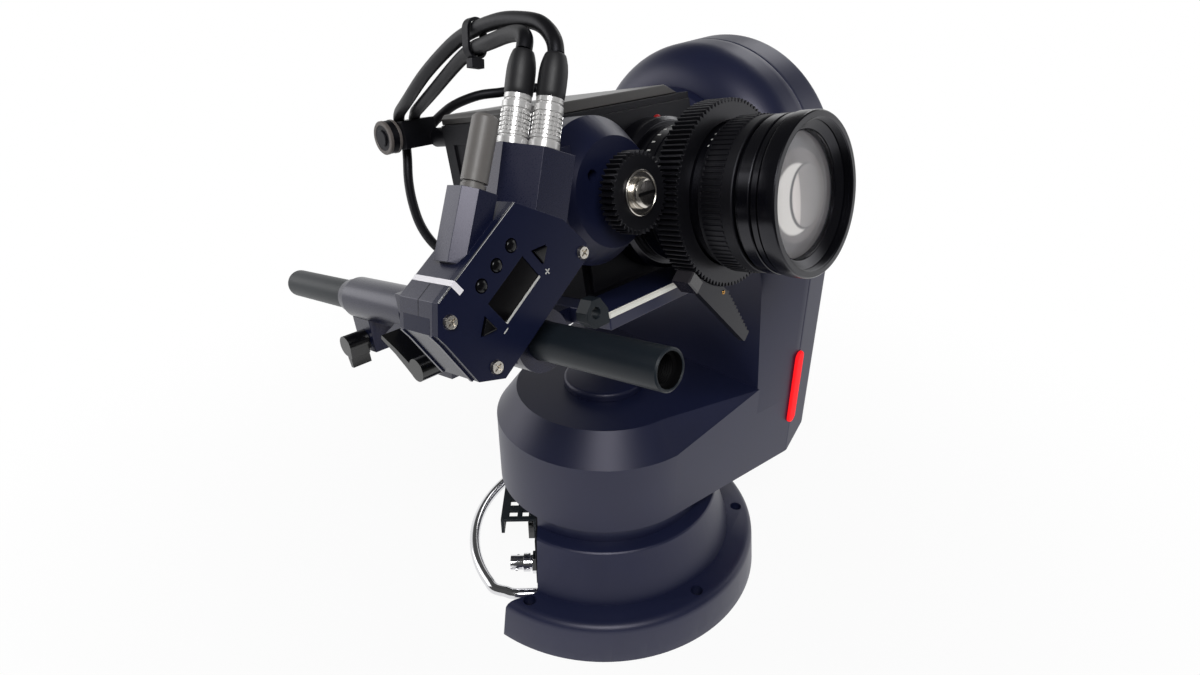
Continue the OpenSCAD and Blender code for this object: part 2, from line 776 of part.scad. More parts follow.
module arm_slice(x, inset, foot_inset, low) {
    along_tilt(x) linear_extrude(eps)
        arm_outline(arm_round(x) - inset, arm_foot(x) - foot_inset, arm_side(x) - foot_inset, low);
}

module tally_light() {
    color("red") translate([arm_seam, -arm_half - seat_gap, tally_z])
        rotate([90, 0, 0]) linear_extrude(tally_t) {
            square([tally_w, tally_len - tally_w], center = true);
            for (s = [-1, 1]) translate([0, s * (tally_len - tally_w) / 2]) circle(r = tally_w / 2);
        }
}

module arm_shell() {
    steps = 5;
    color(paint) difference() {
        hull() {
            for (k = [0 : steps])
                arm_slice(arm_in + arm_fillet * (1 - cos(90 * k / steps)),
                    arm_fillet * (1 - sin(90 * k / steps)), 0, pan_side_top);
            arm_slice(arm_seam - eps, 0, 0, pan_side_top);
        }
        difference() {
            along_tilt(arm_room_in) linear_extrude(arm_seam)
                arm_outline(arm_round(arm_in) - arm_fillet, arm_foot(arm_in) - arm_fillet,
                    arm_side(arm_in) - arm_fillet, pan_side_top - 1);
            along_tilt(arm_in) cylinder(r = boss_r, h = tilt_bearing_w + 4);
        }
        along_tilt(bearing_in) cylinder(r = tilt_bearing_r + seat_gap, h = arm_seam);
        along_tilt(arm_in - 1) cylinder(r = tilt_shaft_r + 1, h = arm_seam);
    }
}

module cover_spots() {
    for (a = [30, 90, 150]) along_tilt(arm_out)
        translate([0, -arm_sink]) rotate([0, 0, a]) translate([arm_top_r - arm_edge - 6, 0, 0]) children();
    for (s = [-1, 1]) along_tilt(arm_out)
        translate([s * (arm_foot(arm_seam) - arm_edge - 7), pan_side_top - tilt_z]) children();
}

module arm_cover() {
    steps = 4;
    rim = arm_edge + 4;
    color(paint) difference() {
        hull() {
            arm_slice(arm_seam, 0, 0, pan_low);
            for (k = [0 : steps])
                arm_slice(arm_out - eps - arm_edge * (1 - sin(90 * k / steps)),
                    arm_edge * (1 - cos(90 * k / steps)), arm_edge * (1 - cos(90 * k / steps)), pan_low);
        }
        along_tilt(arm_seam - 1) linear_extrude(arm_out - arm_seam - arm_wall + 1)
            arm_outline(arm_round(arm_seam) - rim, arm_foot(arm_seam) - rim, arm_side(arm_seam) - rim,
                pan_low + foot_h + 4);
        translate([0, 2 * arm_top_r, 0]) rotate([90, 0, 0]) linear_extrude(4 * arm_top_r)
            polygon([[arm_seam, pan_low - 1], [arm_out + 1, pan_low - 1], [arm_out + 1, pan_low + foot_h + 1],
                [arm_seam + 2, pan_low]]);
        cover_spots() translate([0, 0, -arm_wall - 4]) cylinder(r = 1.7, h = arm_wall + 5);
        cover_spots() translate([0, 0, -1.5]) cylinder(r = 3.3, h = 4);
    }
}

module cover_screws() {
    color(steel) cover_spots() {
        translate([0, 0, -1.5]) cylinder(r = 3, h = 1.3);
        translate([0, 0, -arm_wall - 2]) cylinder(r = 1.5, h = arm_wall + 1);
    }
}

module tilt_motor() {
    front = tilt_gear_x - 2;
    color(black) translate([0, 0, tilt_pinion_z - tilt_z]) along_tilt() difference() {
        translate([0, 0, arm_room_in]) cylinder(r = tilt_motor_r, h = front - arm_room_in);
        translate([0, 0, front - pinion_depth]) cylinder(r = motor_shaft_r + run_gap, h = pinion_depth + 1);
    }
}

module tilt_pinion() {
    color(steel) translate([0, 0, tilt_pinion_z - tilt_z]) along_tilt(tilt_gear_x) rotate([0, 0, 90])
        rotate(180 / pinion_teeth * (pinion_teeth % 2)) pinion(pinion_depth - 2);
}

module tilt_bearing() {
    color(steel) along_tilt(bearing_in + seat_gap)
        tube(tilt_bearing_r, tilt_shaft_r + run_gap, tilt_bearing_w);
}

module tilt_hub() {
    edge = 2;
    color(paint) along_tilt(hub_in) {
        rotate_extrude() polygon([[0, 0], [hub_r - edge, 0], [hub_r, edge], [hub_r, hub_t], [0, hub_t]]);
        cylinder(r = tilt_shaft_r, h = tilt_gear_x + drive_face + 2 - hub_in);
    }
}

module tilt_gear() {
    color(steel) along_tilt(tilt_gear_x) difference() {
        linear_extrude(drive_face) rotate(-90) gear_outline(tilt_teeth, drive_module);
        translate([0, 0, -1]) cylinder(r = tilt_shaft_r + seat_gap, h = drive_face + 2);
    }
}

thumb_z = 8;

module at_thumb(y) {
    tilted() translate([0, y, thumb_z]) rotate([90, 0, 0]) children();
}

module cradle() {
    bevel = 2;
    low = -cam_low - shelf_t;
    color(paint) difference() {
        tilted() union() {
            translate([upright_in, 0, 0]) rotate([90, 0, 90]) linear_extrude(upright_t)
                polygon([[low, -upright_half], [upright_top - 12, -upright_half],
                    [upright_top, 12 - upright_half], [upright_top, upright_half - 12],
                    [upright_top - 12, upright_half], [low, upright_half]]);
            span([-shelf_side, low, -upright_half], [upright_in + upright_t, -cam_low, shelf_front - bevel]);
            span([-shelf_side, low, shelf_front - bevel - eps],
                [upright_in - 12, -cam_low - bevel, shelf_front]);
        }
        at_thumb(-cam_low + 1) cylinder(r = 3.5, h = shelf_t + 2);
    }
}

module shelf_lug() {
    lug = 13;
    color(paint) tilted() translate([-shelf_side, -cam_low, shelf_front - 7]) difference() {
        linear_extrude(7) polygon([[-lug, 4], [-lug + 4, 9], [-4, 9], [0, 3], [0, -4], [-lug + 4, -4],
            [-lug, 0]]);
        translate([-lug / 2 - 1, 3, -1]) cylinder(r = 2.6, h = 9);
    }
}

module thumb_screw() {
    ribs = 24;
    color(black) at_thumb(-cam_low - shelf_t - move_gap) difference() {
        union() {
            cylinder(r = thumb_r, h = thumb_h);
            translate([0, 0, -shelf_t - move_gap - 5]) cylinder(r = 3.1, h = shelf_t + 6);
        }
        for (k = [0 : ribs - 1]) rotate([0, 0, 360 * k / ribs]) translate([thumb_r + 0.3, 0, -eps])
            cylinder(r = 0.8, h = thumb_h + 1, $fn = 16);
    }
}

module camera_body() {
    color(black) difference() {
        tilted() union() {
            span([-cam_side, -cam_low, -cam_back], [cam_far, cam_high, cam_front - 3]);
            span([-cam_side + 3, -cam_low + 3, cam_front - 3 - eps], [cam_far - 3, cam_high - 3, cam_front]);
        }
        at_thumb(-cam_low + 6) cylinder(r = 3.5, h = 8);
        tilted() span([-cam_side - 1, 4, -cam_back + 8], [-cam_side + 1.2, cam_high - 10, -cam_back + 34]);
    }
}

module camera_top() {
    slope = 12;
    color(black) tilted() translate([0, 0, -cam_back - 2]) linear_extrude(cam_back + 2 + 26)
        polygon([[-cam_side + 2, cam_high], [-cam_side + 2, cam_high + top_t - 2],
            [-cam_side + 4, cam_high + top_t], [cam_far - slope, cam_high + top_t], [cam_far - 2, cam_high]]);
}

module mount_collar() {
    color(black) tilted() translate([0, 0, cam_front]) rotate_extrude()
        polygon([[24, 0], [collar_r, 0], [collar_r, collar_len - 2], [collar_r - 2, collar_len],
            [24, collar_len]]);
}

module lens_barrel() {
    inner = glass_r + 1;
    step = bezel_start - 8;
    color(black) tilted() difference() {
        rotate_extrude() polygon([[0, collar_front], [barrel_r, collar_front], [barrel_r, step - 1],
            [lens_r - 1, step], [lens_r - 1, bezel_start - 1], [lens_r - 1.6, bezel_start - 1],
            [lens_r - 1.6, bezel_start], [lens_r, bezel_start], [lens_r, lens_front - 1],
            [lens_r - 1, lens_front], [0, lens_front]]);
        translate([0, 0, lens_front - 4]) cylinder(r = filter_r, h = 5);
        translate([0, 0, lens_front - 6.5]) cylinder(r1 = inner, r2 = filter_r - 1, h = 2.5 + eps);
        translate([0, 0, glass_seat]) cylinder(r = glass_r + seat_gap, h = 20);
    }
}

module lens_glass() {
    rise = 5;
    bow = (glass_r * glass_r + rise * rise) / (2 * rise);
    color("#6a7a90", 0.6) tilted() translate([0, 0, glass_seat]) intersection() {
        cylinder(r = glass_r, h = 12);
        translate([0, 0, 6 + rise - bow]) sphere(r = bow);
    }
}

module focus_ring() {
    color(black) tilted() translate([0, 0, ring_start]) difference() {
        linear_extrude(ring_face) rotate(mesh_angle) gear_outline(ring_teeth, lens_module);
        translate([0, 0, -1]) cylinder(r = barrel_r + move_gap, h = ring_face + 2);
    }
}

// The strap's buckle sits under the gear ring and its tapered tail has teeth along the inner edge
module gear_strap() {
    tail_angle = -140;
    seat_r = ring_pitch_r + lens_module + seat_gap;
    pitch = 2.4;
    depth = ring_face - 2;
    buckle = [6, 9];
    tail_t = 3.2;
    root = [seat_r - 8, 27];
    tip = [seat_r + 3.2, tail_len];
    inner_tip = [seat_r - 2.2, tail_len];
    edge = inner_tip - root;
    color(black) tilted() translate([0, 0, ring_start + 1]) rotate([0, 0, tail_angle]) {
        linear_extrude(depth) translate([seat_r, 0.5]) square(buckle);
        translate([0, 0, depth - tail_t]) difference() {
            linear_extrude(tail_t) {
                polygon([[seat_r + 5.6, 6], tip, inner_tip, root, [seat_r - 6, 6]]);
                for (k = [1 : floor(norm(edge) / pitch) - 1])
                    translate(root + edge * k * pitch / norm(edge)) rotate([0, 0, atan2(edge[1], edge[0])])
                        translate([0, -0.4]) square([pitch / 2, 1.3]);
            }
            translate([0, 0, -1]) cylinder(r = seat_r, h = tail_t + 2);
        }
    }
}

module zoom_ring() {
    ribs = 72;
    color(black) tilted() translate([0, 0, zoom_start]) difference() {
        cylinder(r = zoom_r, h = zoom_w);
        translate([0, 0, -1]) cylinder(r = barrel_r + move_gap, h = zoom_w + 2);
        for (k = [0 : ribs - 1]) rotate([0, 0, 360 * k / ribs])
            translate([zoom_r - 0.6, -0.7, 1.5]) cube([2, 1.4, zoom_w - 3]);
    }
}

module at_rod(z = 0) {
    tilted() translate([-rod_side, -rod_down, z]) children();
}

module rod() {
    color("#20262a") at_rod(rod_front - rod_len) difference() {
        cylinder(r = rod_r, h = rod_len);
        translate([0, 0, -1]) cylinder(r = rod_hole_r, h = rod_hole_depth + 1);
        translate([0, 0, rod_len - rod_hole_depth]) cylinder(r = rod_hole_r, h = rod_hole_depth + 1);
    }
}

// A frame on the rod whose z runs towards -X, x forward and y up
module across_rod(at) {
    at_rod(at[1]) translate([0, at[0], 0]) rotate([0, -90, 0]) children();
}

module rod_bracket() {
    low = front_lever_at[0] - 7;
    color(paint) difference() {
        union() {
            across_rod([0, 0]) translate([0, 0, -bracket_half]) linear_extrude(2 * bracket_half)
                polygon([[bracket_back, 0], [bracket_back - 20, -sleeve_r - 1], [front_lever_at[1] - 10, low],
                    [front_lever_at[1] + 8, low], [front_lever_at[1] + 10, -16.3], [bracket_front, -16.3],
                    [bracket_front, rod_r + 4], [bracket_back, rod_r + 4]]);
            tilted() span([bracket_half - rod_side - 1, -cam_low - shelf_t, bracket_back],
                [-shelf_side, -cam_low, bracket_front]);
        }
        at_rod(bracket_back - 30) cylinder(r = rod_r + seat_gap, h = 120);
        at_rod(bracket_back - 30) cylinder(r = sleeve_r + seat_gap, h = 30);
        across_rod(front_lever_at) translate([0, 0, -bracket_half + 3])
            cylinder(r = 2.5 + move_gap, h = 2 * bracket_half);
    }
}

module rod_sleeve() {
    neck = 8;
    length = bracket_back - sleeve_back;
    color(paint) difference() {
        union() {
            at_rod(sleeve_back) cylinder(r = sleeve_r, h = length);
            at_rod(sleeve_back - neck) cylinder(r1 = rod_r + 1.2, r2 = sleeve_r - 0.8, h = neck + eps);
            across_rod(rear_lever_at) translate([-8, -6, -lug_half]) cube([16, 17, 2 * lug_half]);
        }
        at_rod(sleeve_back - neck - 1) cylinder(r = rod_r + seat_gap, h = length + neck + 2);
        across_rod(rear_lever_at) translate([0, 0, -lug_half + 2])
            cylinder(r = 2.5 + move_gap, h = 2 * lug_half);
    }
}

// A thumb lever on a screw that runs across the rod, with a flat wing off one side of its hub
module lever(face, wing) {
    wing_foot = 6;
    wing_bend = 0.57 * wing;
    translate([0, 0, -face + 4]) cylinder(r = 2.5, h = 2 * face - 3);
    translate([0, 0, face + move_gap]) cylinder(r = lever_hub_r, h = lever_h);
    translate([0, 0, face + move_gap + 1]) linear_extrude(lever_h - 1)
        polygon([[0, 0], [0, -wing_bend], [1, -wing], [1 + wing_t, -wing], [1 + wing_t, -wing_bend],
            [2 + wing_t, -wing_foot], [lever_hub_r - 0.1, 0]]);
}

module front_lever() {
    color(black) across_rod(front_lever_at) rotate([0, 0, front_wing_turn]) lever(bracket_half, front_wing);
}

module rear_lever() {
    color(black) across_rod(rear_lever_at) lever(lug_half, rear_wing);
}

// The front plate's outline, from the display window's middle
module plate_outline(inset = 0) {
    right = plate_left + plate_len;
    top = plate_low + plate_wide;
    offset(delta = -inset) polygon([[plate_left + 1.5, plate_low + 26], [plate_left + 1.5, plate_low + 30],
        [plate_left + 9, top], [20, top], [right - 2, 0.5], [right, plate_low + 4],
        [right - 3.5, plate_low], [plate_left + 7, plate_low], [plate_left, plate_low + 8]]);
}

module at_buttons(k) {
    at_unit() translate([button_pitch * (1 - k) + 0.9, button_row, 0]) children();
}

module arrow_shape(grow = 0) {
    circle(r = 3.4 + 2 * grow, $fn = 3);
}

module at_arrow(s) {
    at_unit() translate([s * (window_len / 2 + 5.6), 0, 0]) rotate([0, 0, s > 0 ? 0 : 180]) children();
}

module motor_plate() {
    color(paint) difference() {
        at_unit(case_front) linear_extrude(plate_t) difference() {
            plate_outline();
            square([window_len + 2 * seat_gap, window_h + 2 * seat_gap], center = true);
            for (p = screw_spots) translate(p) circle(r = 1.4);
        }
        for (k = [0 : 2]) at_buttons(k) cylinder(r = button_r + move_gap, h = plate_front + 1);
        for (s = [-1, 1]) at_arrow(s) linear_extrude(plate_front + 1) arrow_shape(move_gap);
    }
}

module display_window() {
    color("#0b0b10") at_unit(plate_front - 2.4)
        translate([-window_len / 2, -window_h / 2, 0]) cube([window_len, window_h, 2]);
}

// A button's cap and the flange that keeps it behind the plate
module button_stem() {
    translate([0, 0, case_front - move_gap - 1.2]) linear_extrude(1.2) children(1);
    translate([0, 0, case_front - move_gap - 1])
        linear_extrude(plate_t + move_gap + 1 + button_cap) children(0);
}

module round_button(k) {
    color(black) at_buttons(k) button_stem() {
        circle(r = button_r);
        circle(r = button_r + 1);
    }
}

module first_button() {
    round_button(0);
}

module second_button() {
    round_button(1);
}

module third_button() {
    round_button(2);
}

module arrow_button(s) {
    color(black) at_arrow(s) button_stem() {
        arrow_shape();
        arrow_shape(0.6);
    }
}

module plus_button() {
    arrow_button(1);
}

module minus_button() {
    arrow_button(-1);
}

// Blocks that carry the plugs and the antenna, seen along the plugs: x to the back, y to the left
module plug_blocks() {
    back = plug_seats[0][2] - web_front;
    front = plug_seats[0][2] - case_front + 0.5;
    left = plug_r + 0.8;
    along_plug(plug_seats[0]) translate([0, 0, -34]) linear_extrude(34)
        polygon([[front, -16.5], [back, -16.5], [back, left], [-3, left], [front, -2]]);
    along_plug(antenna_seat, antenna_angle) translate([0, 0, -24]) linear_extrude(24)
        polygon([[-5.5, -antenna_r - 1.4], [6, -antenna_r - 1.4], [6, antenna_r + 1.2],
            [-2, antenna_r + 1.2], [-5.5, antenna_r - 3]]);
}

module motor_case() {
    color(paint) difference() {
        union() {
            at_unit(case_back) linear_extrude(case_depth) plate_outline();
            difference() {
                plug_blocks();
                at_unit(case_front) linear_extrude(20) square(200, center = true);
            }
        }
        difference() {
            at_unit(case_back + case_wall) linear_extrude(case_depth) plate_outline(case_wall);
            for (p = screw_spots) at_unit(case_back) translate(p) cylinder(r = 3.4, h = case_depth);
        }
        for (p = screw_spots) at_unit(case_front - 8) translate(p) cylinder(r = 1.3, h = 9);
        at_unit(case_back + 6) translate([plate_left - 1, -40, 0]) cube([2.4, 80, 6]);
    }
}

module gearbox() {
    web = 22;
    color(paint) difference() {
        tilted() union() {
            translate([drive_x, drive_y, gearbox_back])
                cylinder(r = gearbox_r, h = gearbox_rim - gearbox_back);
            translate([drive_x, drive_y, gearbox_rim - eps])
                cylinder(r1 = gearbox_r, r2 = gearbox_face_r, h = gearbox_front - gearbox_rim + eps);
            translate([0, 0, web_front - 14]) linear_extrude(14)
                polygon([[drive_x - 18, drive_y + web], [-100, 33], [-120, 10], [-110, -6],
                    [drive_x - 18, drive_y - web]]);
        }
        tilted() cylinder(r = collar_r + 1.5, h = lens_front);
        tilted() translate([drive_x, drive_y, gearbox_front - 8]) cylinder(r = 4 + run_gap, h = 13);
        tilted() translate([drive_x - 12, drive_y + 9, gearbox_front - 6]) cylinder(r = 2.6, h = 7);
    }
}

module rod_clamp() {
    pad = [16, 26];
    color(paint) difference() {
        union() {
            at_rod(clamp_back) cylinder(r = clamp_r, h = clamp_front - clamp_back);
            at_unit(clamp_back + 4) translate([-10, plate_low - pad[1] + 8, 0])
                cube([pad[0] + 8, pad[1], case_back - clamp_back - 4]);
        }
        at_rod(0) cylinder(r = rod_r + seat_gap, h = rod_front);
        at_rod(clamp_back - 1) translate([0, -0.8, 0]) rotate([0, 0, -50]) cube([40, 1.6, 60]);
    }
}

module motor_screws() {
    color(steel) for (p = screw_spots) at_unit(plate_front) translate(p) difference() {
        union() {
            cylinder(r1 = 2.5, r2 = 2.1, h = 1.2);
            translate([0, 0, -plate_t - 6]) cylinder(r = 1.25, h = plate_t + 7);
        }
        for (a = [0, 90]) rotate([0, 0, a]) translate([-1.6, -0.3, 0.4]) cube([3.2, 0.6, 2]);
    }
}

module antenna() {
    color("#4b4d45") along_plug(antenna_seat, antenna_angle) {
        cylinder(r = antenna_r - 0.3, h = 1.6);
        translate([0, 0, 1]) cylinder(r = antenna_r - 0.8, h = 2);
        translate([0, 0, 2.4]) cylinder(r = antenna_r, h = antenna_len - 3.4);
        translate([0, 0, antenna_len - 1 - eps]) cylinder(r1 = antenna_r, r2 = antenna_r - 1, h = 1);
    }
}

module drive_gear() {
    color(black) tilted() translate([drive_x, drive_y, drive_start]) {
        linear_extrude(drive_gear_face) rotate(mesh_angle + 180 + 180 / drive_teeth)
            gear_outline(drive_teeth, lens_module);
        translate([0, 0, -14]) cylinder(r = 4, h = 15);
    }
}

module gear_screw() {
    color(steel) tilted() translate([drive_x, drive_y, drive_start + drive_gear_face]) difference() {
        union() {
            cylinder(r = hub_screw_r, h = 1);
            cylinder(r1 = 6, r2 = 5.4, h = 3.6);
        }
        translate([-6, -0.6, 2]) cube([12, 1.2, 3]);
    }
}

module plug_shells() {
    color(steel) for (seat = plug_seats) along_plug(seat) {
        cylinder(r = plug_r, h = 4);
        translate([0, 0, 3.5]) cylinder(r = plug_r - 0.5, h = plug_len - 7);
        translate([0, 0, plug_len - 4]) cylinder(r = plug_r - 0.2, h = 2);
        translate([0, 0, plug_len - 2.5]) cylinder(r = plug_r - 1.5, h = 2.5);
    }
}

module plug_boots() {
    color(black) for (seat = plug_seats) along_plug(seat) translate([0, 0, plug_len]) {
        cylinder(r = plug_r - 0.4, h = boot_len * 0.5);
        translate([0, 0, boot_len * 0.5 - eps])
            cylinder(r1 = plug_r - 0.4, r2 = cable_r + 0.7, h = boot_len * 0.5 + eps);
    }
}

// The straight start of a cable at the end of a plug's boot
function plug_start(seat) = seat + plug_tip * [cos(plug_angle), sin(plug_angle), 0];

module drive_cables() {
    color(black) tilted() {
        cable(concat([plug_start(plug_seats[1])], route_right), cable_r);
        cable(concat([plug_start(plug_seats[0])], route_left), cable_r);
    }
}

module thin_leads() {
    color(black) tilted() {
        cable(route_top, lead_r);
        cable(route_side, lead_r);
    }
}

// The rear plug with its cap, the side plug and the tie round the drive cables
module cable_fittings() {
    mid = (rear_y[0] + rear_y[1]) / 2;
    tie_at = [-81.2, 78, 18];
    color(black) tilted() {
        span([rear_x[0], rear_y[0], rear_z[0]], [rear_x[1], rear_y[1], rear_z[1]]);
        translate([-46, mid - 4, rear_z[1] - 1]) cylinder(r = 5, h = -cam_back - rear_z[1] + 1);
        translate([side_plug_at[0], side_plug_at[1], side_plug_at[2]]) rotate([0, 90, 0])
            cylinder(r = 4.5, h = -cam_side - side_plug_at[0]);
        translate(tie_at) rotate([0, 0, 79]) linear_extrude(4) {
            difference() {
                tie_loop(cable_r + 1.8);
                tie_loop(cable_r + 0.7);
            }
            translate([-3.2 - cable_r - 5, -3]) square([3.6, 6]);
        }
    }
    color("#8a857e") tilted() translate([rear_x[0], mid, (rear_z[0] + rear_z[1]) / 2]) rotate([0, -90, 0])
        cylinder(r = 8.4, h = 7);
}

module tie_loop(r) {
    half = 3.2;
    square([2 * half, 2 * r], center = true);
    for (s = [-1, 1]) translate([s * half, 0]) circle(r = r);
}

base_casting();
floor_plate();
floor_screws();
connector_panel();
video_sockets();
data_sockets();
cable_bracket();
guard_loop();
pan_bearing();
pan_motor();
pan_pinion();
pan_housing();
pan_cap();
spindle();
pan_gear();
slip_ring();
arm_shell();
arm_cover();
cover_screws();
tally_light();
tilt_motor();
tilt_pinion();
tilt_bearing();
tilt_hub();
tilt_gear();
cradle();
shelf_lug();
thumb_screw();
camera_body();
camera_top();
mount_collar();
lens_barrel();
lens_glass();
focus_ring();
gear_strap();
zoom_ring();
rod_bracket();
rod();
rod_sleeve();
front_lever();
rear_lever();
motor_case();
motor_plate();
gearbox();
rod_clamp();
motor_screws();
display_window();
first_button();
second_button();
third_button();
plus_button();
minus_button();
antenna();
drive_gear();
gear_screw();
plug_shells();
plug_boots();
drive_cables();
thin_leads();
cable_fittings();
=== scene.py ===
"""Looks of a motorised pan tilt head that carries a camera, a zoom lens and a geared lens motor on a rod."""

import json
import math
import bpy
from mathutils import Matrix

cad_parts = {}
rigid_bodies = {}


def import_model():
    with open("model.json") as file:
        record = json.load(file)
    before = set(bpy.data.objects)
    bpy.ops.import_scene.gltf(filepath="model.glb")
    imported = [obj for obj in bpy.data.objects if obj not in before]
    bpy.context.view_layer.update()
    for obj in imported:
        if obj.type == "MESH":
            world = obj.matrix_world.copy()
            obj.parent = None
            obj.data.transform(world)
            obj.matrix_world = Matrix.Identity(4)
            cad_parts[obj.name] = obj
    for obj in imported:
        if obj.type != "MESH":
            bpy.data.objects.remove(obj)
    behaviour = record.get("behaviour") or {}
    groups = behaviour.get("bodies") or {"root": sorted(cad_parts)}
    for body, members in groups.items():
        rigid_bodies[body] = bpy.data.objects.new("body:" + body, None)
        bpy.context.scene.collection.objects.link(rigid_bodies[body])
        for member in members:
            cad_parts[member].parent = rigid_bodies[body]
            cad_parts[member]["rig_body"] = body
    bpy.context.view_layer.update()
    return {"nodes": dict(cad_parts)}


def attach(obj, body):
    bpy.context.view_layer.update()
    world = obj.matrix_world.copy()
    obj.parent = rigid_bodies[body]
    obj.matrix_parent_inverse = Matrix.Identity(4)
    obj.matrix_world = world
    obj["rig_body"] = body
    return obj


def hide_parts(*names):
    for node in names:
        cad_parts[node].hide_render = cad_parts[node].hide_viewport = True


bl_info = {
    "name": "Pan Tilt Head Looks",
    "version": (1, 0, 0),
    "blender": (4, 5, 0),
    "location": "3D View > Sidebar > Head",
    "description": "Dresses the solids of a motorised pan tilt head with finishes and fine detail",
    "category": "Object",
}

import bmesh
import bpy
import numpy as np
from bpy.props import FloatProperty, FloatVectorProperty, PointerProperty
from mathutils import Matrix

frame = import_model()
NODES = frame["nodes"]

MM = 0.001
QUARTER = math.pi / 2

# Places of the head, in millimetres, as in the part's source
TILT_Z = 240.6
REST_TILT = math.radians(10.6)
BASE_TURN = math.radians(45)
ARM_IN, ARM_SEAM, ARM_OUT = 56.0, 90.0, 111.0
ARM_FILLET, ARM_EDGE = 21.5, 4.0
ARM_TOP_R, ARM_DRAFT, ARM_SINK = 74.5, 3.9, 4.0
ARM_WAIST, ARM_WAIST_Z = 67.0, 191.0
PAN_R, PAN_FLARE = 65.0, math.radians(8)
PAN_LOW, PAN_SIDE_TOP = 64.4, 107.4
FOOT_MIDDLE = PAN_R / math.cos(PAN_FLARE)
FOOT_WIDE = FOOT_MIDDLE + ARM_SEAM * math.tan(PAN_FLARE)
UNIT_AT, UNIT_TURN = (-134.6, -2.7), math.radians(33.5)
PLATE_FRONT, PLATE_TOP = 88.0, 19.5
ROD_AT = (-112.0, -31.7, 0.0)
ROD_FRONT, ROD_BACK = 131.0, -145.0
DRIVE_AT, DRIVE_FACE = (-55.48, 12.1, 0.0), 75.5
STRAP_TURN = math.radians(-140)
PLUG_ANGLE = math.radians(68)
PLUG_AXIS = np.array([math.cos(PLUG_ANGLE), math.sin(PLUG_ANGLE), 0.0])
PLUG_SEATS = np.array([[-111.4, 39.6, 70.0], [-105.106, 37.057, 78.783]])
PLUG_LEN, BOOT_LEN = 17.0, 15.0
REAR_CAP_AT = (-66.0, 42.0, -84.0)

# Cable routes in the tilting frame: side, up, forward
ROUTE_RIGHT = [[-92, 70, 78], [-90, 74, 74], [-88, 78, 67], [-86, 80, 57], [-84, 82, 44], [-82, 82, 30],
               [-80, 81, 16], [-79, 79, 4], [-78, 74, -12], [-76, 68, -30], [-73, 61, -48], [-69, 56, -64],
               [-64, 53, -78], [-62, 49, -83]]
ROUTE_LEFT = [[-97, 73, 69], [-94, 75, 64], [-91, 76, 56], [-88, 76, 46], [-86, 75, 34], [-83, 75, 24],
              [-80, 74, 14], [-78, 72, 4], [-74, 67, -14], [-71, 61, -32], [-67, 56, -50], [-61, 53, -66],
              [-55, 52, -77], [-54, 49, -81]]
ROUTE_TOP = [[-46, 42, -86], [-42, 44, -85], [-38, 48, -81], [-33, 53, -72], [-24, 56, -62],
             [-14, 56, -55], [0, 56, -50], [10, 55, -46], [15, 53, -44], [16, 49, -43]]
ROUTE_SIDE = [[-58, 35, -88], [-59, 29, -88], [-63, 18, -85], [-67, 7, -79], [-70, -4, -71],
              [-71, -13, -61], [-70, -20, -49], [-67, -22, -42], [-62, -22, -40]]

# Profiles that are turned about an axis: radius and height, in millimetres
PLUG_FOOT = [(0, 0), (5.1, 0), (5.4, 0.3), (5.4, 2.4), (5.2, 2.7), (4.7, 2.8), (4.7, 3.2), (5.3, 3.4),
             (5.3, 4.2), (4.6, 4.4)]
PLUG_RIB = [(4.6, 0), (5.2, 0.02), (5.2, 0.98), (4.6, 1.0)]
PLUG_TOP = [(4.6, 12.2), (5.1, 12.4), (5.1, 14.4), (4.8, 14.7), (4.2, 14.9), (4.2, 15.3), (4.7, 15.5),
            (4.7, 17.0), (0, 17.0)]
BOOT = [(0, 0), (4.6, 0), (4.9, 0.4), (5.0, 2.0), (5.05, 5.0), (5.0, 8.0), (4.85, 9.8), (4.6, 11.4),
        (4.25, 12.8), (3.9, 13.9), (3.6, 14.6), (3.2, 15.0), (0, 15.0)]
SCREW_HEAD = [(0, -0.4), (3.0, -0.4), (3.0, 0.12), (2.8, 0.26), (1.55, 0.26), (1.45, 0.05), (0, 0.05)]
SCREW_SEAT = [(0, -0.3), (3.35, -0.3), (3.35, 0.06), (0, 0.06)]
SCREW_SOCKET = [(0, 0.0), (1.4, 0.0), (1.4, 0.1), (0, 0.1)]
BARREL = [(0, 46), (31.5, 46), (32, 46.4), (32, 50), (31.6, 50.2), (31.6, 50.8), (32, 51), (32, 57),
          (31.5, 57.2), (31.5, 57.8), (32, 58), (32, 66), (31.5, 66.4), (31.5, 84), (32, 84.2), (32, 85.6),
          (31.5, 85.8), (31.5, 103.2), (32.0, 103.4), (32.0, 104.6), (32.4, 104.8), (33.4, 105.1),
          (33.6, 105.4), (33.6, 110.4), (33.3, 110.7), (32.5, 110.8), (32.5, 111.7), (33.6, 111.9),
          (33.6, 114.2), (33.0, 114.4), (33.0, 114.9), (34.0, 115.1), (34.2, 115.4), (34.2, 121.4),
          (34.0, 122.0), (33.5, 122.5), (31.3, 122.5), (31.0, 122.2)]
BARREL_MOUTH = [(30.4, 118.6), (30.0, 118.4), (27.6, 116.5), (27.0, 116.3), (26.9, 115.6), (26.7, 115.4),
                (26.7, 112.0), (26.0, 111.0), (0, 111.0)]
ZOOM_RING = [(32.3, 86.2), (33.2, 86.2), (33.5, 86.5), (33.5, 87.9), (33.9, 88.0), (34.0, 88.2),
             (34.0, 97.4), (33.9, 97.6), (33.5, 97.7), (33.5, 102.5), (33.2, 102.9), (32.3, 102.9),
             (32.3, 86.2)]
ROD_RIM = [(6.3, 0.3), (6.6, 0.0), (7.0, 0.0), (7.5, 0.5)]
